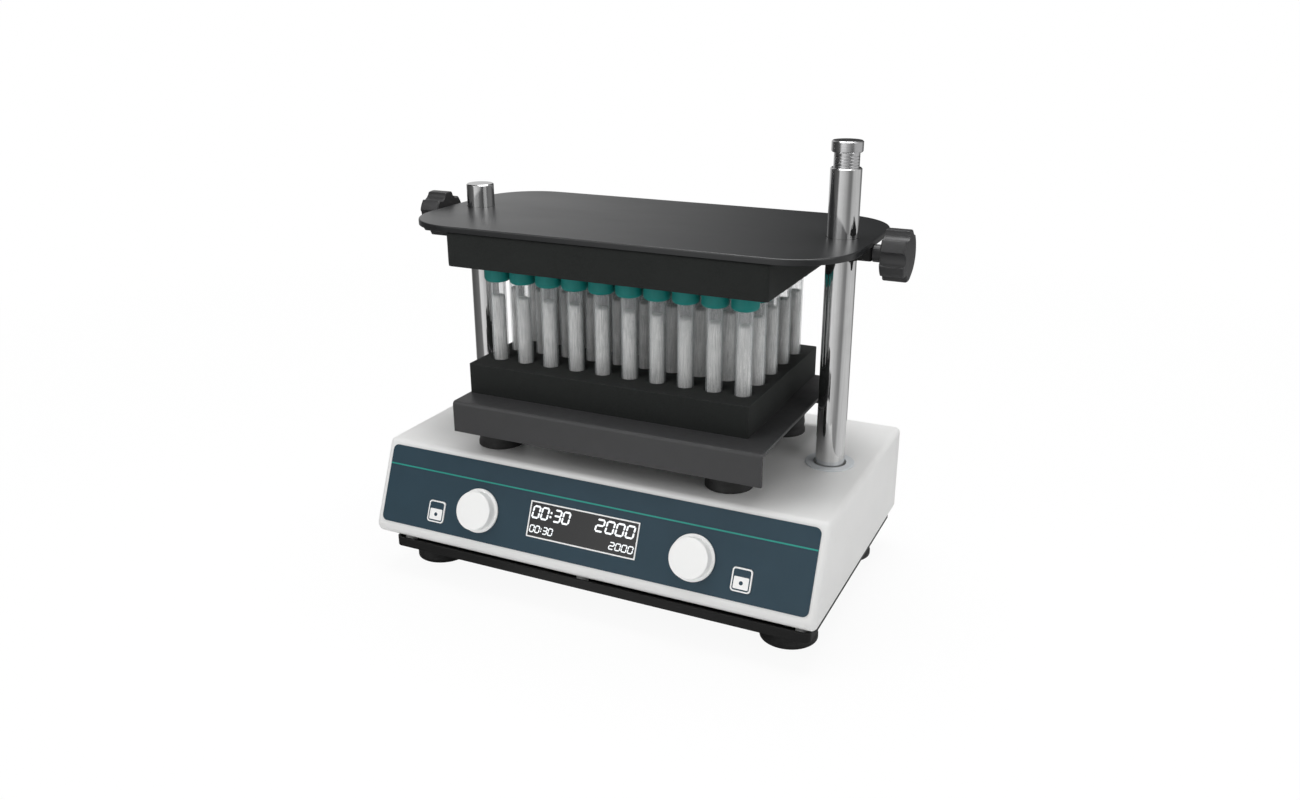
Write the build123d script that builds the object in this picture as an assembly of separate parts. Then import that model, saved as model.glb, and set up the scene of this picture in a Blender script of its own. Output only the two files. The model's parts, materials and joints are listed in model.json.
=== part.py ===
from build123d import *
import math
import os

os.makedirs("parts", exist_ok=True)

# Multi-tube vortex mixer. Millimetres, +Z up, front towards -Y. The sizes count Y from the
# plane of the two posts; each node is saved with its origin under the middle of the whole.

# Base: feet, pan and housing
foot_height = 26.0
foot_radius = 23.2
foot_neck_radius = 14.0
foot_lip = 3.0
foot_cup_depth = 4.0
foot_spread_x = 165.0
foot_front_y = -90.0
foot_rear_y = 66.0
pan_height = 8.0
pan_floor = 2.0
pan_wall = 2.0
pan_inset = 4.0
pan_left_inset = 20.0
pan_corner_radius = 6.0
housing_width = 400.0
housing_height = 79.0
housing_wall = 3.0
housing_front_y = -142.3
housing_slope_run = 33.1
housing_back_y = 105.2
edge_radius = 5.0
lip_radius = 8.0
housing_side_flange = 22.0
housing_flange = 30.0
boss_radius = 5.0
boss_margin = 13.0

# Front panel, measured along the slope from the housing's top front edge
panel_half_width = 193.8
panel_top = 4.7
panel_bottom = 71.6
panel_thickness = 0.6
panel_corner_radius = 5.0
display_half_width = 49.8
display_top = 28.3
display_bottom = 58.2
display_border = 1.1
display_proud = 0.25
window_thickness = 2.0
module_depth = 6.0
board_thickness = 1.6
board_depth = 17.0
board_half_width = 178.0
board_top = 16.0
board_bottom = 69.0
spacer_radius = 3.5

# Control knobs and keys
knob_x = 97.6
knob_down = 46.2
knob_flange_radius = 18.5
knob_flange_thickness = 1.5
knob_face_radius = 16.3
knob_height = 10.6
knob_gap = 0.45
knob_edge_radius = 1.2
encoder_body = 13.0
encoder_body_height = 6.5
bushing_radius = 4.5
bushing_proud = 2.4
stem_radius = 3.0
stem_length = 14.0
key_x = 139.2
key_down = 54.8
key_width = 16.2
key_height = 18.4
key_proud = 0.8
key_travel = 0.7
key_corner_radius = 2.6
key_flange = 1.2
key_flange_thickness = 1.0
switch_body = 11.0

# Posts
post_x = 165.3
post_radius = 12.0
left_post_top = 321.0
right_post_top = 354.5
post_chamfer = 0.8
stud_radius = 5.0
stud_length = 16.0
cap_neck_radius = 9.8
cap_neck_height = 11.5
cap_height = 8.5
cap_groove_depth = 0.5
cap_groove_pitch = 2.3
collar_radius = 20.3
collar_thickness = 1.2
collar_gap = 1.5
socket_radius = 20.0
socket_height = 30.0

# Drive: motor under a frame plate, crank under the tray, four idlers
drive_y = -5.0
orbit_radius = 2.0
frame_low = 92.0
frame_thickness = 6.0
frame_overhang = 22.7
frame_corner_radius = 12.0
frame_front_y = -98.0
frame_rear_y = 78.0
pillar_radius = 8.0
pillar_x = 112.0
pillar_front_y = -42.0
pillar_rear_y = 30.0
motor_radius = 45.0
motor_height = 46.0
motor_wall = 4.0
rotor_radius = 27.0
air_gap = 0.6
stator_thickness = 12.0
shaft_radius = 6.0
motor_bearing_radius = 14.0
motor_bearing_width = 8.0
hub_radius = 17.0
hub_low_gap = 1.5
hub_top = 122.0
hub_pin_radius = 7.5
hub_pin_length = 18.0
counterweight_radius = 45.0
counterweight_thickness = 8.0
hub_bearing_radius = 17.5
hub_bearing_width = 11.0
idler_x = 106.0
idler_front_y = -75.5
idler_rear_y = 54.0
idler_pin_radius = 4.0
idler_bearing_radius = 11.0
idler_bearing_width = 7.0
idler_housing_wall = 4.0
idler_housing_height = 20.0
idler_web_radius = 9.0
idler_web_thickness = 5.0
idler_pin_length = 16.0
boot_radius = 19.5
boot_wall = 1.2
boot_rib = 0.8
boot_height = 34.0
boot_flange_thickness = 2.5
boot_ribs = 4
hub_boot_radius = 27.0

# Tray, rack, tubes
tray_gap = 20.1
tray_left_x = -126.7
tray_right_x = 146.4
tray_front_y = -114.7
tray_rear_y = 81.0
tray_flange = 26.5
tray_thickness = 2.5
tray_bend_radius = 3.0
cup_wall = 4.0
cup_floor = 1.5
cup_room = 7.5
tray_hub_flange = 30.0
tray_hub_plate = 5.0
rack_half_width = 125.6
rack_front_y = -89.5
rack_rear_y = 80.1
rack_height = 25.8
rack_floor = 3.0
rack_edge_radius = 1.0
tube_columns = 10
tube_rows = 5
tube_pitch_x = 24.6
tube_pitch_y = 29.9
tube_front_y = -62.2
tube_radius = 6.7
tube_wall = 1.0
tube_length = 100.0
sample_height = 77.0
cap_radius = 11.0
cap_length = 15.0
cap_top = 5.0
cap_rounding = 3.0

# Clamp plate and what it carries
plate_overhang = 25.2
plate_half_width = 93.0
plate_corner_radius = 52.0
plate_thickness = 4.7
plate_edge_radius = 1.2
cushion_half_width = 139.0
cushion_half_depth = 92.0
cushion_thickness = 28.8
cushion_gap = 0.3
clamp_block_height = 10.8
clamp_sleeve_radius = 17.0
clamp_nose_half_width = 7.5
clamp_ear_reach = 22.0
clamp_ear_half_width = 12.0
clamp_axis_drop = 5.5
pad_radius = 3.8
pad_length = 3.0
pad_travel = 3.0
clamp_screw_radius = 3.0
grip_hub_radius = 6.8
grip_hub_length = 8.5
grip_radius = 20.0
grip_thickness = 19.0
grip_edge_radius = 1.5
grip_dome = 2.5
grip_lobes = 6
grip_flute_radius = 6.5
grip_flute_depth = 4.0

# Rear face
rear_centre_z = 72.0
inlet_x = 150.0
inlet_width = 27.0
inlet_height = 19.6
inlet_depth = 22.0
inlet_flange_width = 48.0
inlet_flange_height = 24.0
inlet_flange_thickness = 3.0
inlet_wall = 1.8
inlet_recess = 16.0
pin_length = 10.0
pin_pitch = 7.0
pin_rise = 2.0
rocker_x = 106.0
rocker_frame_width = 21.0
rocker_frame_height = 15.0
rocker_frame_wall = 1.6
rocker_depth = 14.0
rocker_flange = 1.5
rocker_swing = 10.0
rocker_pin_radius = 1.5
rocker_pin_inset = 3.0
rocker_reach = 4.9
fan_x = -125.0
fan_size = 60.0
fan_depth = 15.0
fan_wall = 2.5
fan_hub_radius = 12.0
fan_blades = 7
fan_blade_thickness = 1.6
fan_blade_pitch = 35.0
vent_slots = 9
vent_slot_height = 3.2
vent_radius = 26.5

# Boards and boxes inside
supply_width = 96.0
supply_depth = 70.0
supply_height = 15.0
supply_slot_margin = 8.0
supply_slot_width = 2.4
supply_slots = 9
driver_width = 52.0
driver_depth = 44.0
driver_base = 4.0
driver_fin_height = 18.0
driver_fins = 6
chip_width = 14.0
chip_depth = 12.0
chip_height = 3.0

# Fasteners
screw_radius = 2.0
screw_head_radius = 4.0
screw_head_height = 2.4
bolt_radius = 4.0
bolt_head_radius = 6.5
bolt_head_height = 5.0
bolt_grip = 20.0

# Clearances
soft_gap = 0.3
slide_clearance = 0.08
running_clearance = 0.05
seat_clearance = 0.02
hole_clearance = 0.3

# Levels and places worked out from the sizes above
pan_low = foot_height
pan_top = pan_low + pan_floor
housing_low = pan_low + pan_height
housing_top = housing_low + housing_height
inner_top = housing_top - housing_wall
half_width = housing_width / 2
housing_top_front_y = housing_front_y + housing_slope_run
slope_length = math.hypot(housing_slope_run, housing_height)
slope_sine = housing_slope_run / slope_length
slope_cosine = housing_height / slope_length
frame_top = frame_low + frame_thickness
tray_low = housing_top + tray_gap
tray_top = tray_low + tray_flange
tray_under = tray_top - tray_thickness
rack_top = tray_top + rack_height
tube_low = tray_top + rack_floor + seat_clearance
tube_top = tube_low + tube_length
cap_low = tube_top + cap_top - cap_length
caps_top = tube_top + cap_top
cushion_low = caps_top + cushion_gap
plate_low = cushion_low + cushion_thickness
plate_top = plate_low + plate_thickness
clamp_axis_z = plate_low - clamp_axis_drop
plate_half_length = post_x + plate_overhang
frame_half_width = post_x + frame_overhang
panel_frame = Plane(
    origin=(0, housing_top_front_y, housing_top),
    x_dir=(1, 0, 0),
    z_dir=(0, -slope_cosine, slope_sine),
)
idler_places = {
    "front_left": (-idler_x, idler_front_y),
    "front_right": (idler_x, idler_front_y),
    "rear_left": (-idler_x, idler_rear_y),
    "rear_right": (idler_x, idler_rear_y),
}


def rod(radius, low, high, x=0.0, y=0.0):
    """Upright cylinder between two heights."""
    up = (Align.CENTER, Align.CENTER, Align.MIN)
    return Pos(x, y, low) * Cylinder(radius, high - low, align=up)


def ring(outer, inner, low, high, x=0.0, y=0.0):
    """Upright ring between two heights."""
    return rod(outer, low, high, x, y) - rod(inner, low - 1, high + 1, x, y)


def block(x_low, x_high, y_low, y_high, z_low, z_high):
    """Box between two corners."""
    low = (Align.MIN, Align.MIN, Align.MIN)
    return Pos(x_low, y_low, z_low) * Box(x_high - x_low, y_high - y_low, z_high - z_low, align=low)


def spun(points):
    """Solid of revolution about Z from a list of radius and height pairs."""
    face = Plane.XZ * Polygon(*points, align=None)
    return revolve(face, Axis.Z)


def side_rod(radius, x_low, x_high, y, z):
    """Cylinder along X between two places."""
    out = (Align.CENTER, Align.CENTER, Align.MIN)
    return Pos(x_low, y, z) * Rot(0, 90, 0) * Cylinder(radius, x_high - x_low, align=out)


def rear_rod(radius, y_low, y_high, x, z):
    """Cylinder along Y between two places."""
    out = (Align.CENTER, Align.CENTER, Align.MIN)
    return Pos(x, y_low, z) * Rot(-90, 0, 0) * Cylinder(radius, y_high - y_low, align=out)


def on_panel(shape, across, down, out):
    """Puts a shape on the sloped front, out from its surface along its normal."""
    return panel_frame.location * Pos(across, -down, out) * shape


def plate_on_panel(width, height, low, high, radius, across, down):
    """Rounded plate parallel to the sloped front, between two distances from it."""
    face = RectangleRounded(width, height, radius)
    return on_panel(extrude(face, high - low), across, down, low)


def rod_on_panel(radius, low, high, across, down):
    """Cylinder square to the sloped front, between two distances from it."""
    out = (Align.CENTER, Align.CENTER, Align.MIN)
    return on_panel(Cylinder(radius, high - low, align=out), across, down, low)


def grid(columns, rows, pitch_x, pitch_y, first_y):
    """Places of a grid that is centred on X and starts at first_y."""
    first_x = -pitch_x * (columns - 1) / 2
    return [(first_x + c * pitch_x, first_y + r * pitch_y) for r in range(rows) for c in range(columns)]


def mirrored(shape):
    """The same shape on the other side of the YZ plane."""
    return mirror(shape, Plane.YZ)


def housing_body(inset):
    """The housing's rounded outer form, moved inwards by inset."""
    low = housing_low + inset
    high = housing_top - inset
    back = housing_back_y - inset
    half = half_width - inset
    shift = inset / slope_cosine

    def front(z):
        return housing_front_y + housing_slope_run * (z - housing_low) / housing_height + shift

    outline = Polygon((front(low), low), (front(high), high), (back, high), (back, low), align=None)
    solid = extrude(Plane.YZ * outline, half, both=True)
    long_edges = solid.edges().filter_by(Axis.X)
    lip = long_edges.sort_by(lambda e: e.center().Y + e.center().Z)[0]
    solid = fillet(lip, lip_radius - inset)
    long_edges = solid.edges().filter_by(Axis.X)
    upper = [e for e in long_edges if e.center().Z > high - 0.01 or e.center().Y > back - 0.01]
    ends = solid.faces().filter_by(Axis.X).edges()
    return fillet(upper + list(ends), edge_radius - inset)


def boss_places():
    """Where the pan is screwed to the housing's bosses."""
    left = -half_width + pan_left_inset - pan_inset + boss_margin
    right = half_width - boss_margin
    front = housing_front_y + boss_margin + 2
    back = housing_back_y - boss_margin
    return [(x, y) for x in (left, 0, right) for y in (front, back)]


def board_hole_places():
    """Places of the control board's spacers, across and down the slope."""
    rise = board_bottom - board_top - 2 * spacer_radius
    side = board_half_width - 2 * spacer_radius
    top = board_top + spacer_radius
    return [(u, top + rise * k) for u in (-side, -side / 3, side / 3, side) for k in (0, 1)]


def upper_housing():
    shell = housing_body(0) - housing_body(housing_wall)
    opening = block(
        -half_width + housing_side_flange,
        half_width - housing_side_flange,
        housing_front_y + housing_flange,
        housing_back_y - housing_flange,
        housing_low - 1,
        housing_low + 2 * housing_wall,
    )
    shell -= opening
    for x, y in boss_places():
        shell += rod(boss_radius, pan_top, housing_low + housing_wall / 2, x, y)
        shell -= rod(screw_radius + seat_clearance, pan_top - 1, housing_low + housing_wall + 1, x, y)
    for x in (-post_x, post_x):
        shell -= rod(post_radius + collar_gap, inner_top - 1, housing_top + 1, x, 0)
    hole = idler_bearing_radius + idler_housing_wall + 1
    for x, y in idler_places.values():
        shell -= rod(hole, inner_top - 1, housing_top + 1, x, y)
    shell -= rod(hub_radius + orbit_radius + 2, inner_top - 1, housing_top + 1, 0, drive_y)
    cut = 2 * display_border
    shell -= plate_on_panel(
        2 * display_half_width - cut,
        display_bottom - display_top - cut,
        -2 * housing_wall,
        1,
        0.5,
        0,
        (display_top + display_bottom) / 2,
    )
    for u in (-knob_x, knob_x):
        shell -= rod_on_panel(bushing_radius + hole_clearance, -2 * housing_wall, 1, u, knob_down)
    for u in (-key_x, key_x):
        shell -= key_hole(u, -2 * housing_wall, 1)
    shell -= rear_cutouts()
    return shell


def key_hole(u, low, high):
    """The opening a key slides in."""
    width = key_width + 2 * soft_gap
    height = key_height + 2 * soft_gap
    return plate_on_panel(width, height, low, high, key_corner_radius + soft_gap, u, key_down)


def rear_cutouts():
    low = housing_back_y - 2 * housing_wall
    high = housing_back_y + 1
    gap = hole_clearance
    cut = block(
        inlet_x - inlet_width / 2 - gap,
        inlet_x + inlet_width / 2 + gap,
        low,
        high,
        rear_centre_z - inlet_height / 2 - gap,
        rear_centre_z + inlet_height / 2 + gap,
    )
    cut += block(
        rocker_x - rocker_frame_width / 2 - gap,
        rocker_x + rocker_frame_width / 2 + gap,
        low,
        high,
        rear_centre_z - rocker_frame_height / 2 - gap,
        rear_centre_z + rocker_frame_height / 2 + gap,
    )
    pitch = 2 * vent_radius / vent_slots
    for k in range(vent_slots):
        z = pitch * (k + 0.5) - vent_radius
        reach = math.sqrt(vent_radius**2 - z**2)
        z += rear_centre_z
        half = vent_slot_height / 2
        cut += block(fan_x - reach, fan_x + reach, low, high, z - half, z + half)
    return cut


def pan_outline(inset, low, high):
    """The pan's rounded rectangle, moved inwards by inset, between two heights."""
    x_low = -half_width + pan_left_inset + inset
    x_high = half_width - pan_inset - inset
    y_low = housing_front_y + pan_inset + inset
    y_high = housing_back_y - pan_inset - inset
    face = RectangleRounded(x_high - x_low, y_high - y_low, pan_corner_radius - inset)
    return Pos((x_low + x_high) / 2, (y_low + y_high) / 2, low) * extrude(face, high - low)


def bottom_pan():
    pan = pan_outline(0, pan_low, housing_low) - pan_outline(pan_wall, pan_top, housing_low + 1)
    for x, y in boss_places() + foot_places():
        pan -= rod(screw_radius + hole_clearance, pan_low - 1, pan_top + 1, x, y)
    for x in (-post_x, post_x):
        pan -= rod(bolt_radius + hole_clearance, pan_low - 1, pan_top + 1, x, 0)
    return pan


def foot_places():
    return [(x, y) for x in (-foot_spread_x, foot_spread_x) for y in (foot_front_y, foot_rear_y)]


def rubber_foot():
    cup = foot_radius - foot_lip
    outline = [
        (0, foot_cup_depth),
        (cup - foot_cup_depth, foot_cup_depth),
        (cup, 0),
        (foot_radius, 0),
        (foot_radius, foot_lip),
        (foot_neck_radius + 2, foot_height * 0.55),
        (foot_neck_radius, foot_height * 0.75),
        (foot_neck_radius, foot_height),
        (0, foot_height),
    ]
    seat = foot_cup_depth + screw_head_height
    foot = spun(outline) - rod(screw_radius + seat_clearance, -1, foot_height + 1)
    return foot - rod(screw_head_radius + hole_clearance, -1, seat)


def foot_screw():
    low = foot_cup_depth
    head = rod(screw_head_radius, low, low + screw_head_height)
    nut_low = pan_top
    shank = rod(screw_radius, low, nut_low + 2 * screw_radius)
    nut = rod(screw_head_radius, nut_low, nut_low + screw_radius)
    return head + shank + nut


def bottom_screws():
    """Foot screws with their nuts, and the screws that join pan and housing."""
    feet = [Pos(x, y, 0) * foot_screw() for x, y in foot_places()]
    pan = []
    for x, y in boss_places():
        shank = rod(screw_radius, pan_low, housing_low + housing_wall / 2, x, y)
        pan.append(shank + rod(screw_head_radius, pan_low - screw_head_height, pan_low, x, y))
    return feet + pan


def front_panel():
    middle = (panel_top + panel_bottom) / 2
    sheet = plate_on_panel(
        2 * panel_half_width, panel_bottom - panel_top, 0, panel_thickness, panel_corner_radius, 0, middle
    )
    gap = seat_clearance
    sheet -= plate_on_panel(
        2 * (display_half_width + gap),
        display_bottom - display_top + 2 * gap,
        -1,
        2,
        0.5,
        0,
        (display_top + display_bottom) / 2,
    )
    for u in (-knob_x, knob_x):
        sheet -= rod_on_panel(bushing_radius + hole_clearance, -1, 2, u, knob_down)
    for u in (-key_x, key_x):
        sheet -= key_hole(u, -1, 2)
    return sheet


def display_frame():
    middle = (display_top + display_bottom) / 2
    height = display_bottom - display_top
    top = panel_thickness + display_proud
    outer = plate_on_panel(2 * display_half_width, height, 0, top, 0.5, 0, middle)
    inner_half = display_half_width - display_border
    return outer - plate_on_panel(2 * inner_half, height - 2 * display_border, -1, top + 1, 0.4, 0, middle)


def display_window():
    middle = (display_top + display_bottom) / 2
    border = display_border + seat_clearance
    width = 2 * (display_half_width - border)
    height = display_bottom - display_top - 2 * border
    return plate_on_panel(width, height, panel_thickness - window_thickness, panel_thickness, 0.6, 0, middle)


def display_module():
    """The lit module between the window and the board."""
    middle = (display_top + display_bottom) / 2
    border = display_border + 1.5
    high = panel_thickness - window_thickness - seat_clearance
    width = 2 * (display_half_width - border)
    height = display_bottom - display_top - 2 * border
    glass = plate_on_panel(width, height, high - module_depth, high, 0.3, 0, middle)
    for u in (-width / 3, width / 3):
        glass += rod_on_panel(1.5, -board_depth, high - module_depth / 2, u, middle)
    return glass


def control_board():
    width = 2 * board_half_width
    height = board_bottom - board_top
    middle = (board_top + board_bottom) / 2
    low = -board_depth - board_thickness
    board = plate_on_panel(width, height, low, -board_depth, 2.0, 0, middle)
    chips = [(-60, 4), (-20, -3), (25, 5), (62, -6), (115, 2), (-118, 0)]
    for u, offset in chips:
        board += plate_on_panel(chip_width, chip_depth, low - chip_height, low, 0.5, u, middle + offset)
    for u, down in board_hole_places():
        board -= rod_on_panel(screw_radius, low - 5, -board_depth + 1, u, down)
    return board


def board_spacers():
    spacers = []
    for u, down in board_hole_places():
        head_low = -board_depth - board_thickness - screw_head_height
        spacer = rod_on_panel(spacer_radius, -board_depth, -housing_wall, u, down)
        spacer += rod_on_panel(screw_radius - seat_clearance, head_low, -board_depth, u, down)
        spacer += rod_on_panel(spacer_radius, head_low, head_low + screw_head_height, u, down)
        spacers.append(spacer)
    return spacers


def encoder(u):
    low = -board_depth
    half = encoder_body_height + low
    body = plate_on_panel(encoder_body, encoder_body, low, half, 1.0, u, knob_down)
    body += rod_on_panel(bushing_radius, low, bushing_proud, u, knob_down)
    return body - rod_on_panel(stem_radius + running_clearance, low + 1, bushing_proud + 1, u, knob_down)


def control_knob(u):
    """Plain disc knob on a wider flange, with the encoder's stem fixed in it."""
    low = panel_thickness + knob_gap
    shoulder = low + knob_flange_thickness
    top = panel_thickness + knob_height
    out = (Align.CENTER, Align.CENTER, Align.MIN)
    face = Cylinder(knob_face_radius, top - low, align=out)
    face = fillet(face.edges().filter_by(GeomType.CIRCLE).sort_by(Axis.Z)[-1], knob_edge_radius)
    flange = Cylinder(knob_flange_radius, knob_flange_thickness, align=out)
    flange = fillet(flange.edges().filter_by(GeomType.CIRCLE).sort_by(Axis.Z)[-1], knob_flange_thickness / 3)
    knob = on_panel(face + flange, u, knob_down, low)
    hollow = bushing_radius + 2
    knob -= rod_on_panel(hollow, low - 1, bushing_proud + hole_clearance + 1, u, knob_down)
    return knob + rod_on_panel(stem_radius, shoulder - stem_length, shoulder + 3, u, knob_down)


def key(u):
    """Key cap that stands proud of the panel and is kept in by a flange behind the wall."""
    top = panel_thickness + key_proud
    back = -housing_wall - soft_gap
    cap = plate_on_panel(key_width, key_height, back, top, key_corner_radius, u, key_down)
    grow = 2 * key_flange
    low = back - key_flange_thickness
    return cap + plate_on_panel(
        key_width + grow, key_height + grow, low, back, key_corner_radius, u, key_down
    )


def key_switch(u):
    plunger_top = -housing_wall - soft_gap - key_flange_thickness - key_travel - 2 * seat_clearance
    body_top = plunger_top - key_travel
    body = plate_on_panel(switch_body, switch_body, -board_depth, body_top, 1.0, u, key_down)
    return body + rod_on_panel(switch_body / 4, body_top - 1, plunger_top, u, key_down)


def post(x, top):
    shaft = rod(post_radius, pan_top, top, x, 0)
    shaft = chamfer(shaft.edges().filter_by(GeomType.CIRCLE).sort_by(Axis.Z)[-1], post_chamfer)
    return shaft - rod(bolt_radius + seat_clearance, pan_top - 1, pan_top + bolt_grip, x, 0)


def right_post():
    """The taller post, with a hole in its top for the cap's stud."""
    shaft = post(post_x, right_post_top)
    hole_low = right_post_top - stud_length - 1
    return shaft - rod(stud_radius + seat_clearance, hole_low, right_post_top + 1, post_x, 0)


def post_cap():
    """Grooved neck and cap with a stud that screws into the taller post."""
    low = right_post_top
    neck_top = low + cap_neck_height
    top = neck_top + cap_height
    cap = rod(post_radius, neck_top, top, post_x, 0)
    cap = chamfer(cap.edges().filter_by(GeomType.CIRCLE), post_chamfer)
    cap += rod(cap_neck_radius, low, neck_top, post_x, 0)
    grooves = int((cap_neck_height - 1) / cap_groove_pitch)
    for k in range(grooves):
        z = low + cap_groove_pitch * (k + 0.7)
        groove_radius = cap_neck_radius - cap_groove_depth
        cap -= ring(cap_neck_radius + 1, groove_radius, z, z + cap_groove_depth, post_x, 0)
    return cap + rod(stud_radius, low - stud_length, low + 1, post_x, 0)


def post_collar(x):
    collar = ring(collar_radius, post_radius + collar_gap, housing_top, housing_top + collar_thickness, x, 0)
    rims = collar.edges().filter_by(GeomType.CIRCLE).group_by(Axis.Z)[-1]
    return chamfer(rims, collar_thickness / 3)


def post_socket(x):
    """Collar under the frame plate that holds the post, with its set screw's hole."""
    low = frame_low - socket_height
    socket = ring(socket_radius, post_radius + seat_clearance, low, frame_low, x, 0)
    return socket - rear_rod(screw_radius, -socket_radius - 1, -post_radius + 1, x, low + socket_height / 2)


def post_bolt(x):
    head = rod(bolt_head_radius, pan_low - bolt_head_height, pan_low, x, 0)
    return head + rod(bolt_radius, pan_low - 1, pan_top + bolt_grip - 2, x, 0)


def drive_frame():
    plate = block(-frame_half_width, frame_half_width, frame_front_y, frame_rear_y, frame_low, frame_top)
    corners = plate.edges().filter_by(Axis.Z)
    plate = fillet(corners, frame_corner_radius)
    plate -= rod(motor_bearing_radius + seat_clearance, frame_low - 1, frame_top + 1, 0, drive_y)
    for x, y in pillar_places():
        plate -= rod(screw_radius + hole_clearance, frame_low - 1, frame_top + 1, x, y)
    for x in (-post_x, post_x):
        plate -= rod(post_radius + seat_clearance, frame_low - 1, frame_top + 1, x, 0)
    for x, y in idler_places.values():
        plate -= rod(idler_bearing_radius - 2, frame_low - 1, frame_top + 1, x, y)
    return plate


def pillar_places():
    return [(x, y) for x in (-pillar_x, pillar_x) for y in (pillar_front_y, pillar_rear_y)]


def frame_pillars():
    """Pillars between pan and frame plate, each with its screw head on top."""
    pillars = []
    for x, y in pillar_places():
        pillar = rod(pillar_radius, pan_top, frame_low, x, y)
        pillar += rod(screw_radius, frame_low - 1, frame_top, x, y)
        pillars.append(pillar + rod(screw_head_radius, frame_top, frame_top + screw_head_height, x, y))
    return pillars


def bearing(bore, outer, low, width, x, y):
    """Ball bearing as one ring with a groove in each face."""
    race = ring(outer, bore, low, low + width, x, y)
    inner_edge = bore + (outer - bore) * 0.35
    outer_edge = bore + (outer - bore) * 0.65
    depth = width * 0.08
    race -= ring(outer_edge, inner_edge, low - 1, low + depth, x, y)
    return race - ring(outer_edge, inner_edge, low + width - depth, low + width + 1, x, y)


def motor_housing():
    low = frame_low - motor_height
    can = rod(motor_radius, low, frame_low, 0, drive_y)
    can -= rod(motor_radius - motor_wall, low + motor_wall, frame_low - motor_wall, 0, drive_y)
    pocket = motor_bearing_radius + seat_clearance
    can -= rod(shaft_radius + 2, low - 1, frame_low + 1, 0, drive_y)
    can += ring(pocket + 3, pocket, low + motor_wall - 1, low + motor_wall + motor_bearing_width, 0, drive_y)
    can -= rod(motor_bearing_radius + seat_clearance, frame_low - motor_wall - 1, frame_low + 1, 0, drive_y)
    for k in range(12):
        angle = math.radians(30 * k)
        x = (motor_radius + 1) * math.cos(angle)
        y = drive_y + (motor_radius + 1) * math.sin(angle)
        can -= rod(2.2, low + motor_wall, frame_low - motor_wall, x, y)
    return can


def motor_bearings():
    low = frame_low - motor_height + motor_wall
    bore = shaft_radius + running_clearance
    lower = bearing(bore, motor_bearing_radius, low, motor_bearing_width, 0, drive_y)
    upper_low = frame_top - motor_bearing_width
    upper = bearing(bore, motor_bearing_radius, upper_low, motor_bearing_width, 0, drive_y)
    return [lower, upper]


def rotor_span():
    low = frame_low - motor_height + motor_wall + motor_bearing_width + 1
    high = frame_low - motor_bearing_width - 1
    return low, high


def motor_stator():
    low, high = rotor_span()
    inner = rotor_radius + air_gap
    outer = motor_radius - motor_wall - seat_clearance
    stator = ring(outer, outer - stator_thickness / 3, low, high, 0, drive_y)
    for k in range(9):
        tooth = block(inner + 0.5, outer - 1, -4, 4, low + 2, high - 2)
        stator += Pos(0, drive_y, 0) * Rot(0, 0, 40 * k) * tooth
    return stator


def motor_rotor():
    low, high = rotor_span()
    shaft_low = frame_low - motor_height + motor_wall
    rotor = rod(rotor_radius, low, high, 0, drive_y)
    return rotor + rod(shaft_radius, shaft_low, hub_top - 6, 0, drive_y)


def eccentric_hub():
    """Crank hub on the motor shaft, with its pin off centre and a weight on the other side."""
    low = frame_top + hub_low_gap
    hub = rod(hub_radius, low, hub_top, 0, drive_y)
    hub += rod(hub_pin_radius, hub_top, hub_top + hub_pin_length, orbit_radius, drive_y)
    weight = rod(counterweight_radius, low, low + counterweight_thickness, 0, drive_y)
    weight -= block(
        0,
        2 * counterweight_radius,
        drive_y - 2 * counterweight_radius,
        drive_y + 2 * counterweight_radius,
        low - 1,
        low + counterweight_thickness + 1,
    )
    hub += weight
    return hub - rod(shaft_radius + seat_clearance, low - 1, hub_top - 6 + seat_clearance, 0, drive_y)


def idler_housings():
    housings = []
    outer = idler_bearing_radius + idler_housing_wall
    for x, y in idler_places.values():
        cup_top = frame_top + idler_housing_height
        cup = rod(outer, frame_top, cup_top, x, y)
        cup -= rod(idler_bearing_radius + seat_clearance, frame_top + 1, cup_top + 1, x, y)
        cup -= rod(idler_bearing_radius - 2, frame_top - 1, frame_top + 2, x, y)
        housings.append(cup)
    return housings


def idler_bearings():
    bearings = []
    low = frame_top + 1
    high = frame_top + idler_housing_height - idler_bearing_width
    for x, y in idler_places.values():
        for z in (low, high):
            bore = idler_pin_radius + running_clearance
            bearings.append(bearing(bore, idler_bearing_radius, z, idler_bearing_width, x, y))
    return bearings


def idler_crank(x, y):
    """Journal in the base, web, and a pin off centre that carries the tray."""
    web_low = frame_top + idler_housing_height + hole_clearance
    web_high = web_low + idler_web_thickness
    crank = rod(idler_pin_radius, frame_top + 1, web_low + 1, x, y)
    crank += rod(idler_web_radius, web_low, web_high, x, y)
    return crank + rod(idler_pin_radius, web_high - 1, web_high + idler_pin_length, x + orbit_radius, y)


def rubber_boot(radius, x, y):
    """Rubber boot with shallow ribs round a crank, with a flat foot and an open top."""
    neck = radius - boot_rib
    outline = [(neck - boot_wall, 0), (radius, 0), (radius, boot_flange_thickness)]
    step = (boot_height - boot_flange_thickness) / boot_ribs
    for k in range(boot_ribs):
        z = boot_flange_thickness + k * step
        outline.append((neck, z + 0.25 * step))
        outline.append((neck, z + 0.5 * step))
        outline.append((neck + boot_rib / 2, z + 0.75 * step))
        outline.append((neck + boot_rib / 2, z + 0.85 * step))
    outline.append((neck, boot_height))
    outline.append((neck - boot_wall, boot_height))
    return Pos(x, y, housing_top) * spun(outline)


def rubber_boots():
    boots = [rubber_boot(boot_radius, x, y) for x, y in idler_places.values()]
    return boots + [rubber_boot(hub_boot_radius, 0, drive_y)]


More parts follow.
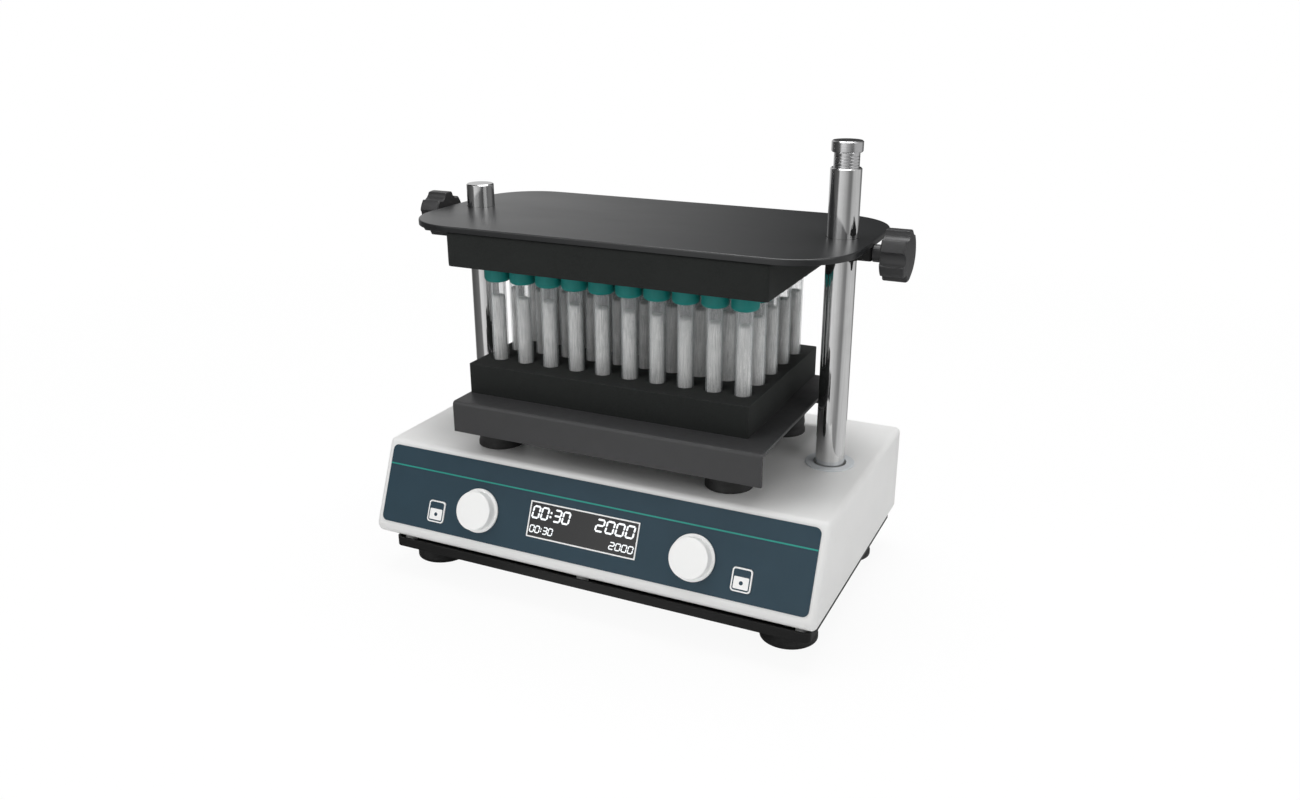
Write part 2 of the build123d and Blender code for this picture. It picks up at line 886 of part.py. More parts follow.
def tray():
    """Top plate with a flange bent down at the front and the rear, open at the sides."""
    sheet = block(tray_left_x, tray_right_x, tray_front_y, tray_rear_y, tray_low, tray_top)
    outer_edges = sheet.edges().filter_by(Axis.X).group_by(Axis.Z)[-1]
    sheet = fillet(outer_edges, tray_bend_radius)
    return sheet - block(
        tray_left_x - 1,
        tray_right_x + 1,
        tray_front_y + tray_thickness,
        tray_rear_y - tray_thickness,
        tray_low - 1,
        tray_under,
    )


def tray_hub():
    x = orbit_radius
    low = hub_top + 3
    shelf = low + 1.5
    outer = hub_bearing_radius + cup_wall
    hub = rod(outer, low, tray_under, x, drive_y)
    hub += rod(tray_hub_flange, tray_under - tray_hub_plate, tray_under, x, drive_y)
    hub -= rod(hub_bearing_radius + seat_clearance, shelf, shelf + hub_bearing_width + 4, x, drive_y)
    return hub - rod(hub_bearing_radius - 2, low - 1, shelf + 1, x, drive_y)


def hub_bearing():
    bore = hub_pin_radius + running_clearance
    return bearing(bore, hub_bearing_radius, hub_top + 4.5, hub_bearing_width, orbit_radius, drive_y)


def cup_low():
    return frame_top + idler_housing_height + hole_clearance + idler_web_thickness + 1


def tray_cups():
    cups = []
    outer = idler_bearing_radius + cup_wall
    low = cup_low()
    for x, y in idler_places.values():
        x += orbit_radius
        cup = rod(outer, low, tray_under, x, y)
        seat = low + cup_floor
        cup -= rod(idler_bearing_radius + seat_clearance, seat, seat + idler_bearing_width + cup_room, x, y)
        cup -= rod(idler_bearing_radius - 2, low - 1, seat + 0.5, x, y)
        cups.append(cup)
    return cups


def tray_bearings():
    low = cup_low() + cup_floor
    bore = idler_pin_radius + running_clearance
    return [
        bearing(bore, idler_bearing_radius, low, idler_bearing_width, x + orbit_radius, y)
        for x, y in idler_places.values()
    ]


def tube_places():
    return grid(tube_columns, tube_rows, tube_pitch_x, tube_pitch_y, tube_front_y)


def foam_rack():
    rack = block(-rack_half_width, rack_half_width, rack_front_y, rack_rear_y, tray_top, rack_top)
    rims = rack.edges().group_by(Axis.Z)[-1] + rack.edges().filter_by(Axis.Z)
    rack = fillet(rims, rack_edge_radius)
    for x, y in tube_places():
        rack -= rod(tube_radius + soft_gap, tray_top + rack_floor, rack_top + 1, x, y)
    return rack


def round_ended(radius, low, high):
    """Upright cylinder with a half-ball bottom."""
    body = rod(radius, low + radius, high)
    return body + Pos(0, 0, low + radius) * Sphere(radius)


def tube():
    outer = round_ended(tube_radius, tube_low, tube_top)
    return outer - round_ended(tube_radius - tube_wall, tube_low + tube_wall, tube_top + 1)


def sample():
    inner = tube_radius - tube_wall - seat_clearance
    low = tube_low + tube_wall + seat_clearance
    return round_ended(inner, low, low + sample_height)


def tube_cap():
    cap = rod(cap_radius, cap_low, caps_top)
    cap = fillet(cap.edges().filter_by(GeomType.CIRCLE).sort_by(Axis.Z)[0], cap_rounding)
    cap = fillet(cap.edges().filter_by(GeomType.CIRCLE).sort_by(Axis.Z)[-1], 1.0)
    return cap - rod(tube_radius + seat_clearance, cap_low - 1, tube_top + seat_clearance)


def spread(shape):
    """One copy of a shape at each place in the rack."""
    return [Pos(x, y, 0) * shape for x, y in tube_places()]


def clamp_plate():
    face = RectangleRounded(2 * plate_half_length, 2 * plate_half_width, plate_corner_radius)
    plate = Pos(0, 0, plate_low) * extrude(face, plate_thickness)
    plate = fillet(plate.edges().group_by(Axis.Z)[-1], plate_edge_radius)
    for x in (-post_x, post_x):
        plate -= rod(post_radius + hole_clearance, plate_low - 1, plate_top + 1, x, 0)
    for x, y in block_screw_places():
        plate -= rod(screw_radius, plate_low - 1, plate_low + plate_thickness * 0.6, x, y)
    return plate


def cushion():
    pad = block(
        -cushion_half_width,
        cushion_half_width,
        -cushion_half_depth,
        cushion_half_depth,
        cushion_low,
        plate_low,
    )
    edges = pad.edges().group_by(Axis.Z)[0] + pad.edges().filter_by(Axis.Z)
    return fillet(edges, rack_edge_radius)


def block_screw_places():
    x = post_x - clamp_ear_reach + screw_head_radius + 1
    y = clamp_ear_half_width - screw_head_radius - 1
    return [(sx * x, sy * y) for sx in (-1, 1) for sy in (-1, 1)]


def right_clamp_block():
    """Sleeve under the plate that slides on the post, with a nose for the clamp screw."""
    low = plate_low - clamp_block_height
    ear = block(
        post_x - clamp_ear_reach, post_x, -clamp_ear_half_width, clamp_ear_half_width, low, plate_low
    )
    nose = block(
        post_x, plate_half_length, -clamp_nose_half_width, clamp_nose_half_width, low, plate_low
    )
    ear = fillet(ear.edges().filter_by(Axis.Z).group_by(Axis.X)[0], 3)
    nose = fillet(nose.edges().filter_by(Axis.Z).group_by(Axis.X)[-1], 2)
    body = rod(clamp_sleeve_radius, low, plate_low, post_x, 0) + ear + nose
    body -= rod(post_radius + slide_clearance, low - 1, plate_low + 1, post_x, 0)
    chamber_end = pad_inner_x() + pad_length + pad_travel + 0.5
    body -= side_rod(pad_radius + running_clearance, post_x, chamber_end, 0, clamp_axis_z)
    body -= side_rod(
        clamp_screw_radius + running_clearance, post_x, plate_half_length + 1, 0, clamp_axis_z
    )
    for x, y in block_screw_places():
        if x > 0:
            body -= rod(screw_radius + seat_clearance, low - 1, plate_low + 1, x, y)
    return body


def block_screws():
    low = plate_low - clamp_block_height
    screws = []
    for x, y in block_screw_places():
        head = rod(screw_head_radius, low - screw_head_height, low, x, y)
        screws.append(head + rod(screw_radius, low - 1, plate_low + plate_thickness / 2, x, y))
    return screws


def pad_inner_x():
    return post_x + post_radius + slide_clearance


def right_pad():
    """Pressure pad that the clamp screw drives against the post."""
    return side_rod(pad_radius, pad_inner_x(), pad_inner_x() + pad_length, 0, clamp_axis_z)


def grip_head():
    """Round head with soft edges and a domed outer face, standing on the XY plane."""
    side = grip_radius
    edge = grip_edge_radius
    soft = edge * (1 - math.sqrt(0.5))
    height = grip_thickness
    ball = ((side - edge) ** 2 + grip_dome**2) / (2 * grip_dome)
    half = (side - edge) / 2
    dome = height + grip_dome - ball + math.sqrt(ball**2 - half**2)
    outline = [
        Line((0, 0), (side - edge, 0)),
        ThreePointArc((side - edge, 0), (side - soft, soft), (side, edge)),
        Line((side, edge), (side, height - edge)),
        ThreePointArc((side, height - edge), (side - soft, height - soft), (side - edge, height)),
        ThreePointArc((side - edge, height), (half, dome), (0, height + grip_dome)),
        Line((0, height + grip_dome), (0, 0)),
    ]
    return revolve(Plane.XZ * make_face(outline), Axis.Z)


def right_clamp_knob():
    """Lobed hand knob with a hub and its screw."""
    hub_start = plate_half_length + soft_gap
    head_start = hub_start + grip_hub_length
    head_end = head_start + grip_thickness
    screw_start = pad_inner_x() + pad_length + seat_clearance
    head = Pos(head_start, 0, clamp_axis_z) * Rot(0, 90, 0) * grip_head()
    rim = grip_radius - grip_flute_depth + grip_flute_radius
    for k in range(grip_lobes):
        angle = 2 * math.pi * (k + 0.5) / grip_lobes
        y = rim * math.sin(angle)
        z = clamp_axis_z + rim * math.cos(angle)
        head -= side_rod(grip_flute_radius, head_start - 1, head_end + grip_dome + 1, y, z)
    hub = side_rod(grip_hub_radius, hub_start, head_start + 1, 0, clamp_axis_z)
    screw = side_rod(clamp_screw_radius, screw_start, head_start + 1, 0, clamp_axis_z)
    return head + hub + screw


def inlet_socket():
    """Mains inlet with its recess, three pins and a flange on the rear wall."""
    back = housing_back_y
    body = block(
        inlet_x - inlet_width / 2,
        inlet_x + inlet_width / 2,
        back - inlet_depth,
        back,
        rear_centre_z - inlet_height / 2,
        rear_centre_z + inlet_height / 2,
    )
    body += block(
        inlet_x - inlet_flange_width / 2,
        inlet_x + inlet_flange_width / 2,
        back,
        back + inlet_flange_thickness,
        rear_centre_z - inlet_flange_height / 2,
        rear_centre_z + inlet_flange_height / 2,
    )
    mouth = back + inlet_flange_thickness
    floor = mouth - inlet_recess
    body -= block(
        inlet_x - inlet_width / 2 + inlet_wall,
        inlet_x + inlet_width / 2 - inlet_wall,
        floor,
        mouth + 1,
        rear_centre_z - inlet_height / 2 + inlet_wall,
        rear_centre_z + inlet_height / 2 - inlet_wall,
    )
    for step, rise in ((-1, -1), (0, 1), (1, -1)):
        x = inlet_x + step * pin_pitch
        z = rear_centre_z + rise * pin_rise
        body += block(x - 1, x + 1, floor - 1, floor + pin_length, z - 2, z + 2)
    for side in (-1, 1):
        x = inlet_x + side * (inlet_flange_width + inlet_width) / 4
        body -= rear_rod(1.6, back - 1, mouth + 1, x, rear_centre_z)
    return body


def rocker_frame():
    back = housing_back_y
    half_x = rocker_frame_width / 2
    half_z = rocker_frame_height / 2
    body = block(
        rocker_x - half_x,
        rocker_x + half_x,
        back - rocker_depth,
        back,
        rear_centre_z - half_z,
        rear_centre_z + half_z,
    )
    grow = rocker_frame_wall
    body += block(
        rocker_x - half_x - grow,
        rocker_x + half_x + grow,
        back,
        back + rocker_flange,
        rear_centre_z - half_z - grow,
        rear_centre_z + half_z + grow,
    )
    body -= block(
        rocker_x - half_x + grow,
        rocker_x + half_x - grow,
        back - rocker_depth + grow,
        back + rocker_flange + 1,
        rear_centre_z - half_z + grow,
        rear_centre_z + half_z - grow,
    )
    hole = rocker_pin_radius + running_clearance
    return body - side_rod(
        hole, rocker_x - half_x - 1, rocker_x + half_x + 1, rocker_pin_y(), rear_centre_z
    )


def rocker_pin_y():
    return housing_back_y + rocker_flange - rocker_pin_inset


def power_rocker():
    """Rocker paddle pressed at its top, whose two faces meet at a shallow angle over its pin."""
    half_x = rocker_frame_width / 2 - rocker_frame_wall - soft_gap
    reach = rocker_reach
    face = rocker_pin_inset
    tip = face + reach * math.tan(math.radians(rocker_swing))
    heel = -2 * rocker_pin_radius
    points = [(heel, -reach / 2), (tip, -reach), (face, 0), (tip, reach), (heel, reach / 2)]
    outline = Polygon(*points, align=None)
    paddle = extrude(Plane.YZ * outline, half_x, both=True)
    pin_half = rocker_frame_width / 2 - soft_gap
    pin = side_rod(rocker_pin_radius, -pin_half, pin_half, 0, 0)
    place = Pos(rocker_x, rocker_pin_y(), rear_centre_z) * Rot(rocker_swing, 0, 0)
    return place * (paddle + pin)


def fan_frame():
    """Fan body on the inside of the rear wall, with its spider."""
    back = housing_back_y - housing_wall
    half = fan_size / 2
    low = rear_centre_z - half
    body = block(fan_x - half, fan_x + half, back - fan_depth, back, low, low + fan_size)
    body = fillet(body.edges().filter_by(Axis.Y), 4)
    bore = half - fan_wall
    body -= rear_rod(bore, back - fan_depth - 1, back + 1, fan_x, rear_centre_z)
    arm_low = back - 2.5
    for k in range(4):
        arm = block(2, bore + 1, arm_low, back, -1.5, 1.5)
        body += Pos(fan_x, 0, rear_centre_z) * Rot(0, 45 + 90 * k, 0) * arm
    body += rear_rod(fan_hub_radius, arm_low, back, fan_x, rear_centre_z)
    body += rear_rod(2.0, back - fan_depth + 3, arm_low + 1, fan_x, rear_centre_z)
    return body


def fan_rotor():
    back = housing_back_y - housing_wall
    low = back - fan_depth + 1
    high = back - 2.5 - hole_clearance
    rotor = rear_rod(fan_hub_radius, low, high, fan_x, rear_centre_z)
    tip = fan_size / 2 - fan_wall - 0.8
    middle = (low + high) / 2
    blade = Box(tip - fan_hub_radius + 1, high - low - 1.5, fan_blade_thickness)
    for k in range(fan_blades):
        place = Rot(0, 360 * k / fan_blades, 0) * Pos((tip + fan_hub_radius - 1) / 2, 0, 0)
        pose = place * Rot(fan_blade_pitch, 0, 0)
        rotor += Pos(fan_x, middle, rear_centre_z) * pose * blade
    keep = rear_rod(tip, low, high, fan_x, rear_centre_z)
    rotor &= keep
    return rotor - rear_rod(2.0 + running_clearance, low + 1, high + 1, fan_x, rear_centre_z)


def power_supply():
    """Flat closed supply with vent slots, on the pan under the motor."""
    y_high = drive_y + supply_depth / 2
    y_low = y_high - supply_depth
    top = pan_top + supply_height
    case = block(-supply_width / 2, supply_width / 2, y_low, y_high, pan_top, top)
    case = fillet(case.edges().filter_by(Axis.Z), 1.5)
    half = supply_slot_width / 2
    for k in range(supply_slots):
        x = supply_width * ((k + 0.5) / supply_slots - 0.5)
        front = y_low + supply_slot_margin
        rear = y_high - supply_slot_margin
        case -= block(x - half, x + half, front, rear, top - 1, top + 1)
    return case


def motor_driver():
    """Driver board with a finned heat sink, on the pan at the front left."""
    x_low = -pillar_x - driver_width / 2
    y_low = pillar_front_y - pillar_radius - 2 - driver_depth
    base_top = pan_top + driver_base
    base = block(x_low, x_low + driver_width, y_low, y_low + driver_depth, pan_top, base_top)
    pitch = driver_width / driver_fins
    for k in range(driver_fins):
        x = x_low + pitch * (k + 0.25)
        fin_top = base_top + driver_fin_height
        base += block(x, x + pitch / 2, y_low, y_low + driver_depth, base_top - 1, fin_top)
    return base


def save(name, shapes):
    """Writes a node about the whole's middle, as one solid or as a group of separate solids."""
    rear = housing_back_y + inlet_flange_thickness
    centred = Pos(0, -(housing_front_y + rear) / 2, 0)
    if isinstance(shapes, list):
        solids = [centred * s for shape in shapes for s in shape.solids()]
        export_step(Compound(children=solids), "parts/" + name + ".step")
    else:
        export_step(centred * shapes, "parts/" + name + ".step")


nodes = {
    "upper_housing": upper_housing(),
    "bottom_pan": bottom_pan(),
    "rubber_feet": [Pos(x, y, 0) * rubber_foot() for x, y in foot_places()],
    "bottom_screws": bottom_screws(),
    "front_panel": front_panel(),
    "display_frame": display_frame(),
    "display_window": display_window(),
    "display_module": display_module(),
    "control_board": control_board(),
    "board_spacers": board_spacers(),
    "encoders": [encoder(-knob_x), encoder(knob_x)],
    "key_switches": [key_switch(-key_x), key_switch(key_x)],
    "left_post": post(-post_x, left_post_top),
    "right_post": right_post(),
    "post_cap": post_cap(),
    "post_collars": [post_collar(-post_x), post_collar(post_x)],
    "post_sockets": [post_socket(-post_x), post_socket(post_x)],
    "post_bolts": [post_bolt(-post_x), post_bolt(post_x)],
    "drive_frame": drive_frame(),
    "frame_pillars": frame_pillars(),
    "motor_housing": motor_housing(),
    "motor_stator": motor_stator(),
    "motor_bearings": motor_bearings(),
    "idler_housings": idler_housings(),
    "idler_bearings": idler_bearings(),
    "rubber_boots": rubber_boots(),
    "power_supply": power_supply(),
    "motor_driver": motor_driver(),
    "inlet_socket": inlet_socket(),
    "rocker_frame": rocker_frame(),
    "fan_frame": fan_frame(),
    "motor_rotor": motor_rotor(),
    "eccentric_hub": eccentric_hub(),
    "tray": tray(),
    "tray_hub": tray_hub(),
    "hub_bearing": hub_bearing(),
    "tray_cups": tray_cups(),
    "tray_bearings": tray_bearings(),
    "foam_rack": foam_rack(),
    "tubes": spread(tube()),
    "samples": spread(sample()),
    "tube_caps": spread(tube_cap()),
    "clamp_plate": clamp_plate(),
    "cushion": cushion(),
    "clamp_blocks": [mirrored(right_clamp_block()), right_clamp_block()],
    "block_screws": block_screws(),
    "left_pad": mirrored(right_pad()),
    "right_pad": right_pad(),
    "left_clamp_knob": mirrored(right_clamp_knob()),
    "right_clamp_knob": right_clamp_knob(),
    "time_knob": control_knob(-knob_x),
    "speed_knob": control_knob(knob_x),
    "left_key": key(-key_x),
    "right_key": key(key_x),
    "power_rocker": power_rocker(),
    "fan_rotor": fan_rotor(),
}
for place, (x, y) in idler_places.items():
    nodes["idler_crank_" + place] = idler_crank(x, y)
for name, shapes in nodes.items():
    save(name, shapes)
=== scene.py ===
import json
import math
import random

import bmesh
import bpy
from mathutils import Matrix, Vector, noise


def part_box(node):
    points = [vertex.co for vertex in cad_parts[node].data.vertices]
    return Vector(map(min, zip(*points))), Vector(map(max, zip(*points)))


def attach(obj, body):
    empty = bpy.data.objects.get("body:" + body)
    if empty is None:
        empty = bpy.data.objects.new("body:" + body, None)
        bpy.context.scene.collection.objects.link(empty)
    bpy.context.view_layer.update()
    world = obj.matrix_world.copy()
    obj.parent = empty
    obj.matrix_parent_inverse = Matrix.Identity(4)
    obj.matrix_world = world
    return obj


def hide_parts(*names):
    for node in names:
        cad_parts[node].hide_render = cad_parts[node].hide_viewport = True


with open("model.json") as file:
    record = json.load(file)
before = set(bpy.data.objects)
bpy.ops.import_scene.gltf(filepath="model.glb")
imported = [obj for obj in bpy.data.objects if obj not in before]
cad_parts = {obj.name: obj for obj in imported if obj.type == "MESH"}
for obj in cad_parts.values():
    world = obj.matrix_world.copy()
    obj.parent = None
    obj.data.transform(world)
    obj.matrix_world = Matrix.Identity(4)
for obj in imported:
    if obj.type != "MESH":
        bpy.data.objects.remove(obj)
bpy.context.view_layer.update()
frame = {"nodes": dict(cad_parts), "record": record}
nodes = frame["nodes"]
scene = bpy.context.scene
random.seed(7)

# Places that repeat the model's own, in metres
rear_reach = 0.1082
front_reach = -0.1423
shift_y = -(front_reach + rear_reach) / 2
housing_low = 0.034
housing_top = 0.113
slope_run = 0.0331
slope_length = math.hypot(slope_run, housing_top - housing_low)
slope_sine = slope_run / slope_length
slope_cosine = (housing_top - housing_low) / slope_length
panel_thickness = 0.0006
display_middle = 0.04325
tube_columns = 10
tube_rows = 5
tube_pitch_x = 0.0246
tube_pitch_y = 0.0299
tube_front_y = -0.0622 + shift_y

# The camera, found from the photograph's edges
camera_place = (0.3942, -0.8233 + shift_y, 0.476)
camera_yaw = math.radians(-25.549)
camera_pitch = math.radians(20.083)
camera_roll = math.radians(-0.204)
camera_focal = 1104.9
photo_width = 1300
sensor_width = 36.0


def srgb(red, green, blue):
    """A colour written as 0 to 255 in the photograph, as the linear values that shaders take."""
    values = [v / 255 for v in (red, green, blue)]
    return tuple(v / 12.92 if v <= 0.04045 else ((v + 0.055) / 1.055) ** 2.4 for v in values) + (1.0,)


def shade(colour, factor):
    """A colour made lighter or darker by a factor."""
    return tuple(min(1.0, c * factor) for c in colour[:3]) + (1.0,)


# Shader building blocks


class Surface:
    """A material under construction, with the few nodes that all of them share."""

    def __init__(self, name, colour, roughness, metallic=0.0):
        self.material = bpy.data.materials.new(name)
        self.material.use_nodes = True
        self.tree = self.material.node_tree
        self.shader = self.tree.nodes["Principled BSDF"]
        self.shader.inputs["Metallic"].default_value = metallic
        self.shader.inputs["Base Color"].default_value = colour
        self.shader.inputs["Roughness"].default_value = roughness
        self.colour = colour
        self.roughness = roughness
        self.normal = None
        self.coordinates = self.node("ShaderNodeTexCoord").outputs["Object"]

    def node(self, kind, inputs=None, **settings):
        made = self.tree.nodes.new(kind)
        for name, value in settings.items():
            setattr(made, name, value)
        for key, value in (inputs or {}).items():
            if isinstance(value, bpy.types.NodeSocket):
                self.tree.links.new(value, made.inputs[key])
            else:
                made.inputs[key].default_value = value
        return made

    def link(self, source, target):
        self.tree.links.new(source, self.shader.inputs[target])

    def stretched(self, scale):
        """The object's coordinates, scaled by a different factor on each axis."""
        inputs = {"Vector": self.coordinates, "Scale": scale}
        return self.node("ShaderNodeMapping", inputs).outputs["Vector"]

    def noise(self, scale, detail=3.0, roughness=0.55, vector=None):
        inputs = {"Scale": scale, "Detail": detail, "Roughness": roughness}
        inputs["Vector"] = vector or self.coordinates
        return self.node("ShaderNodeTexNoise", inputs).outputs["Fac"]

    def cells(self, scale, feature="F1", vector=None):
        inputs = {"Scale": scale, "Vector": vector or self.coordinates}
        return self.node("ShaderNodeTexVoronoi", inputs, feature=feature).outputs["Distance"]

    def remap(self, value, low, high, to_low=0.0, to_high=1.0):
        inputs = {"Value": value, "From Min": low, "From Max": high, "To Min": to_low, "To Max": to_high}
        return self.node("ShaderNodeMapRange", inputs).outputs["Result"]

    def mix(self, factor, first, second):
        made = self.node("ShaderNodeMix", data_type="RGBA")
        sockets = (made.inputs["Factor"], made.inputs[6], made.inputs[7])
        for socket, value in zip(sockets, (factor, first, second)):
            if isinstance(value, bpy.types.NodeSocket):
                self.tree.links.new(value, socket)
            else:
                socket.default_value = value
        return made.outputs[2]

    def math(self, operation, first, second):
        return self.node("ShaderNodeMath", {0: first, 1: second}, operation=operation).outputs[0]

    def soften(self, radius):
        """Rounds the sharp edges in the shading."""
        inputs = {"Radius": radius}
        self.normal = self.node("ShaderNodeBevel", inputs, samples=8).outputs["Normal"]

    def edges(self, radius):
        """1 along the edges and 0 on the flats."""
        rounded = self.node("ShaderNodeBevel", {"Radius": radius}, samples=8).outputs["Normal"]
        flat = self.node("ShaderNodeNewGeometry").outputs["Normal"]
        dot = self.node("ShaderNodeVectorMath", {0: rounded, 1: flat}, operation="DOT_PRODUCT")
        return self.remap(dot.outputs["Value"], 0.98, 0.8)

    def bump(self, height, distance, strength=1.0):
        inputs = {"Height": height, "Distance": distance, "Strength": strength}
        if self.normal:
            inputs["Normal"] = self.normal
        self.normal = self.node("ShaderNodeBump", inputs).outputs["Normal"]

    def vary_roughness(self, value, spread):
        low = max(0.02, self.roughness - spread)
        self.link(self.remap(value, 0.3, 0.7, low, self.roughness + spread), "Roughness")

    def done(self):
        if self.normal:
            self.link(self.normal, "Normal")
        return self.material


def moulded(
    name,
    colour,
    roughness,
    grain=0.00006,
    grain_scale=1400,
    worn=1.25,
    edge=0.0006,
    spread=0.06,
    patchy=0.03,
    gloss=0.5,
):
    """Moulded or painted surface: fine grain, faint blotches, and edges rubbed a little lighter."""
    s = Surface(name, colour, roughness)
    s.shader.inputs["Specular IOR Level"].default_value = gloss
    s.soften(edge)
    blotch = s.noise(38, 4)
    tone = s.mix(s.remap(blotch, 0.35, 0.65), shade(colour, 1 - patchy), shade(colour, 1 + patchy))
    rubbed = s.math("MULTIPLY", s.edges(edge * 1.6), s.remap(s.noise(260, 5), 0.4, 0.62))
    s.link(s.mix(rubbed, tone, shade(colour, worn)), "Base Color")
    s.vary_roughness(s.noise(90, 5), spread)
    s.bump(s.noise(grain_scale, 2), grain)
    return s.done()


def metal(name, colour, roughness, brush=None, edge=0.0004, spread=0.05):
    """Bare metal with its machining or polishing lines along one axis."""
    s = Surface(name, colour, roughness, 1.0)
    s.soften(edge)
    vector = s.stretched(brush) if brush else s.coordinates
    lines = s.noise(900, 3, 0.6, vector)
    smudge = s.noise(45, 4)
    tone = s.mix(s.remap(lines, 0.3, 0.7), shade(colour, 0.93), shade(colour, 1.04))
    s.link(s.mix(s.remap(smudge, 0.45, 0.75), tone, shade(colour, 0.9)), "Base Color")
    s.vary_roughness(s.math("ADD", s.math("MULTIPLY", lines, 0.5), s.math("MULTIPLY", smudge, 0.5)), spread)
    s.bump(lines, 0.00001, 0.5)
    return s.done()


def foam(name, colour):
    """Closed-cell foam: tiny cells, a cut skin with soft pits, and paler edges that are a painted highlight.
    """
    s = Surface(name, colour, 0.9)
    s.shader.inputs["Sheen Weight"].default_value = 0.04
    s.shader.inputs["Sheen Roughness"].default_value = 0.5
    s.shader.inputs["Specular IOR Level"].default_value = 0.22
    cells = s.cells(1500)
    pits = s.cells(520)
    grain = s.noise(700, 4)
    tone = s.mix(s.remap(cells, 0.15, 0.6), shade(colour, 0.72), shade(colour, 1.22))
    patch = s.mix(s.remap(s.noise(30, 4), 0.4, 0.65), tone, shade(colour, 1.18))
    # Paler along every edge: a painted highlight from the bevel mask.
    s.link(s.mix(s.edges(0.0016), patch, shade(colour, 1.7)), "Base Color")
    s.bump(cells, 0.00018, 0.7)
    s.bump(s.remap(pits, 0.1, 0.5), 0.00012, 0.5)
    s.bump(grain, 0.0001, 0.4)
    return s.done()


def rubber(name, colour):
    s = Surface(name, colour, 0.62)
    s.soften(0.0008)
    dust = s.remap(s.noise(60, 6, 0.65), 0.5, 0.8)
    tone = s.mix(dust, colour, shade(colour, 1.8))
    # Paler along every edge: a painted highlight from the bevel mask.
    s.link(s.mix(s.edges(0.0012), tone, shade(colour, 1.6)), "Base Color")
    s.vary_roughness(s.noise(150, 4), 0.1)
    s.bump(s.noise(1900, 3), 0.00005)
    return s.done()


def thin_glass(name, colour):
    """Thin clear wall: seen through without bending, paler where it turns away from the view as a painted
    reflection, with upright streaks.
    """
    s = Surface(name, colour, 0.09)
    # The pale rim, more opaque where the wall turns away from the view, is a painted reflection.
    turned_away = s.node("ShaderNodeLayerWeight", {"Blend": 0.42}).outputs["Facing"]
    rim = s.math("POWER", turned_away, 2.2)
    streaks = s.remap(s.noise(1300, 4, 0.6, s.stretched((1.0, 1.0, 0.05))), 0.5, 0.68, 0.0, 0.16)
    haze = s.remap(s.noise(70, 4), 0.4, 0.7, 0.05, 0.12)
    s.link(s.math("ADD", s.math("MULTIPLY", rim, 0.7), s.math("ADD", streaks, haze)), "Alpha")
    s.vary_roughness(s.noise(80, 5), 0.03)
    s.bump(s.noise(60, 3), 0.00004, 0.4)
    return s.done()


def sample_material(name):
    """Pale filling, with fine upright streaks and specks."""
    colour = srgb(222, 222, 220)
    s = Surface(name, colour, 0.5)
    streaks = s.noise(1100, 4, 0.6, s.stretched((1.0, 1.0, 0.06)))
    specks = s.noise(1300, 2)
    both = s.math("ADD", s.math("MULTIPLY", streaks, 0.6), s.math("MULTIPLY", specks, 0.4))
    s.link(s.mix(s.remap(both, 0.38, 0.62), srgb(182, 182, 182), srgb(238, 238, 236)), "Base Color")
    s.bump(both, 0.00008)
    return s.done()


def plate_material(name):
    """Satin black coating over the pressed plate, with faint long marks from wiping."""
    colour = srgb(34, 35, 36)
    s = Surface(name, colour, 0.31)
    s.soften(0.0008)
    wipes = s.noise(24, 4, 0.5, s.stretched((0.5, 1.0, 1.0)))
    tone = s.mix(s.remap(wipes, 0.35, 0.7), shade(colour, 0.97), shade(colour, 1.04))
    # Paler along every edge: a painted highlight from the bevel mask.
    s.link(s.mix(s.edges(0.0009), tone, shade(colour, 1.7)), "Base Color")
    s.vary_roughness(wipes, 0.02)
    s.bump(s.noise(2200, 2), 0.00002)
    return s.done()


def board_material(name):
    """Green board with tracks and pads."""
    colour = srgb(18, 72, 40)
    s = Surface(name, colour, 0.4)
    tracks = s.node("ShaderNodeTexBrick", {"Scale": 120.0, "Vector": s.coordinates}).outputs["Fac"]
    s.link(s.mix(tracks, colour, srgb(40, 110, 62)), "Base Color")
    s.vary_roughness(s.noise(120, 3), 0.08)
    s.bump(tracks, 0.00005)
    return s.done()


def glowing(name, colour, strength):
    s = Surface(name, colour, 0.5)
    s.shader.inputs["Emission Color"].default_value = colour
    s.shader.inputs["Emission Strength"].default_value = strength
    s.bump(s.noise(1800, 2), 0.00002)
    return s.done()


white = moulded("white_coat", srgb(236, 236, 235), 0.42, 0.00002, 1800, 1.03, 0.0009, 0.03, 0.008)
trim_white = moulded("trim_white", srgb(252, 252, 251), 0.34, 0.000008, 1500, 1.01, 0.0004, 0.02, 0.005)
slate = moulded("slate_film", srgb(46, 67, 79), 0.36, 0.00002, 2400, 1.3, 0.0002, gloss=0.22)
teal_print = moulded("teal_print", srgb(22, 146, 132), 0.4, 0.00002, 2000, 1.1, 0.0001)
white_print = moulded("white_print", srgb(228, 230, 232), 0.45, 0.00002, 2000, 1.02, 0.0001)
black_plastic = moulded("black_plastic", srgb(44, 44, 45), 0.45, 0.00007, 1500, 1.7, 0.0008)
pan_black = moulded("pan_black", srgb(29, 29, 29), 0.56, 0.00006, 1300, 1.6, 0.0008, gloss=0.25)
tray_grey = moulded("tray_grey", srgb(62, 62, 63), 0.46, 0.00006, 1500, 1.5, 0.0008, gloss=0.4)
teal_cap = moulded("teal_cap", srgb(16, 122, 117), 0.48, 0.00003, 1700, 1.2, 0.0005, gloss=0.3)
display_black = moulded("display_black", srgb(12, 12, 14), 0.3, 0.00002, 2000, 1.2, 0.0002)
collar_grey = moulded("collar_grey", srgb(222, 226, 229), 0.34, 0.00001, 1500, 1.05, 0.0003, 0.03, 0.01)
copper = moulded("copper_stator", srgb(150, 84, 48), 0.4, 0.0001, 900, 1.3, 0.0005)
window = moulded("dark_window", srgb(10, 11, 13), 0.12, 0.000005, 900, 1.1, 0.0002, 0.02)
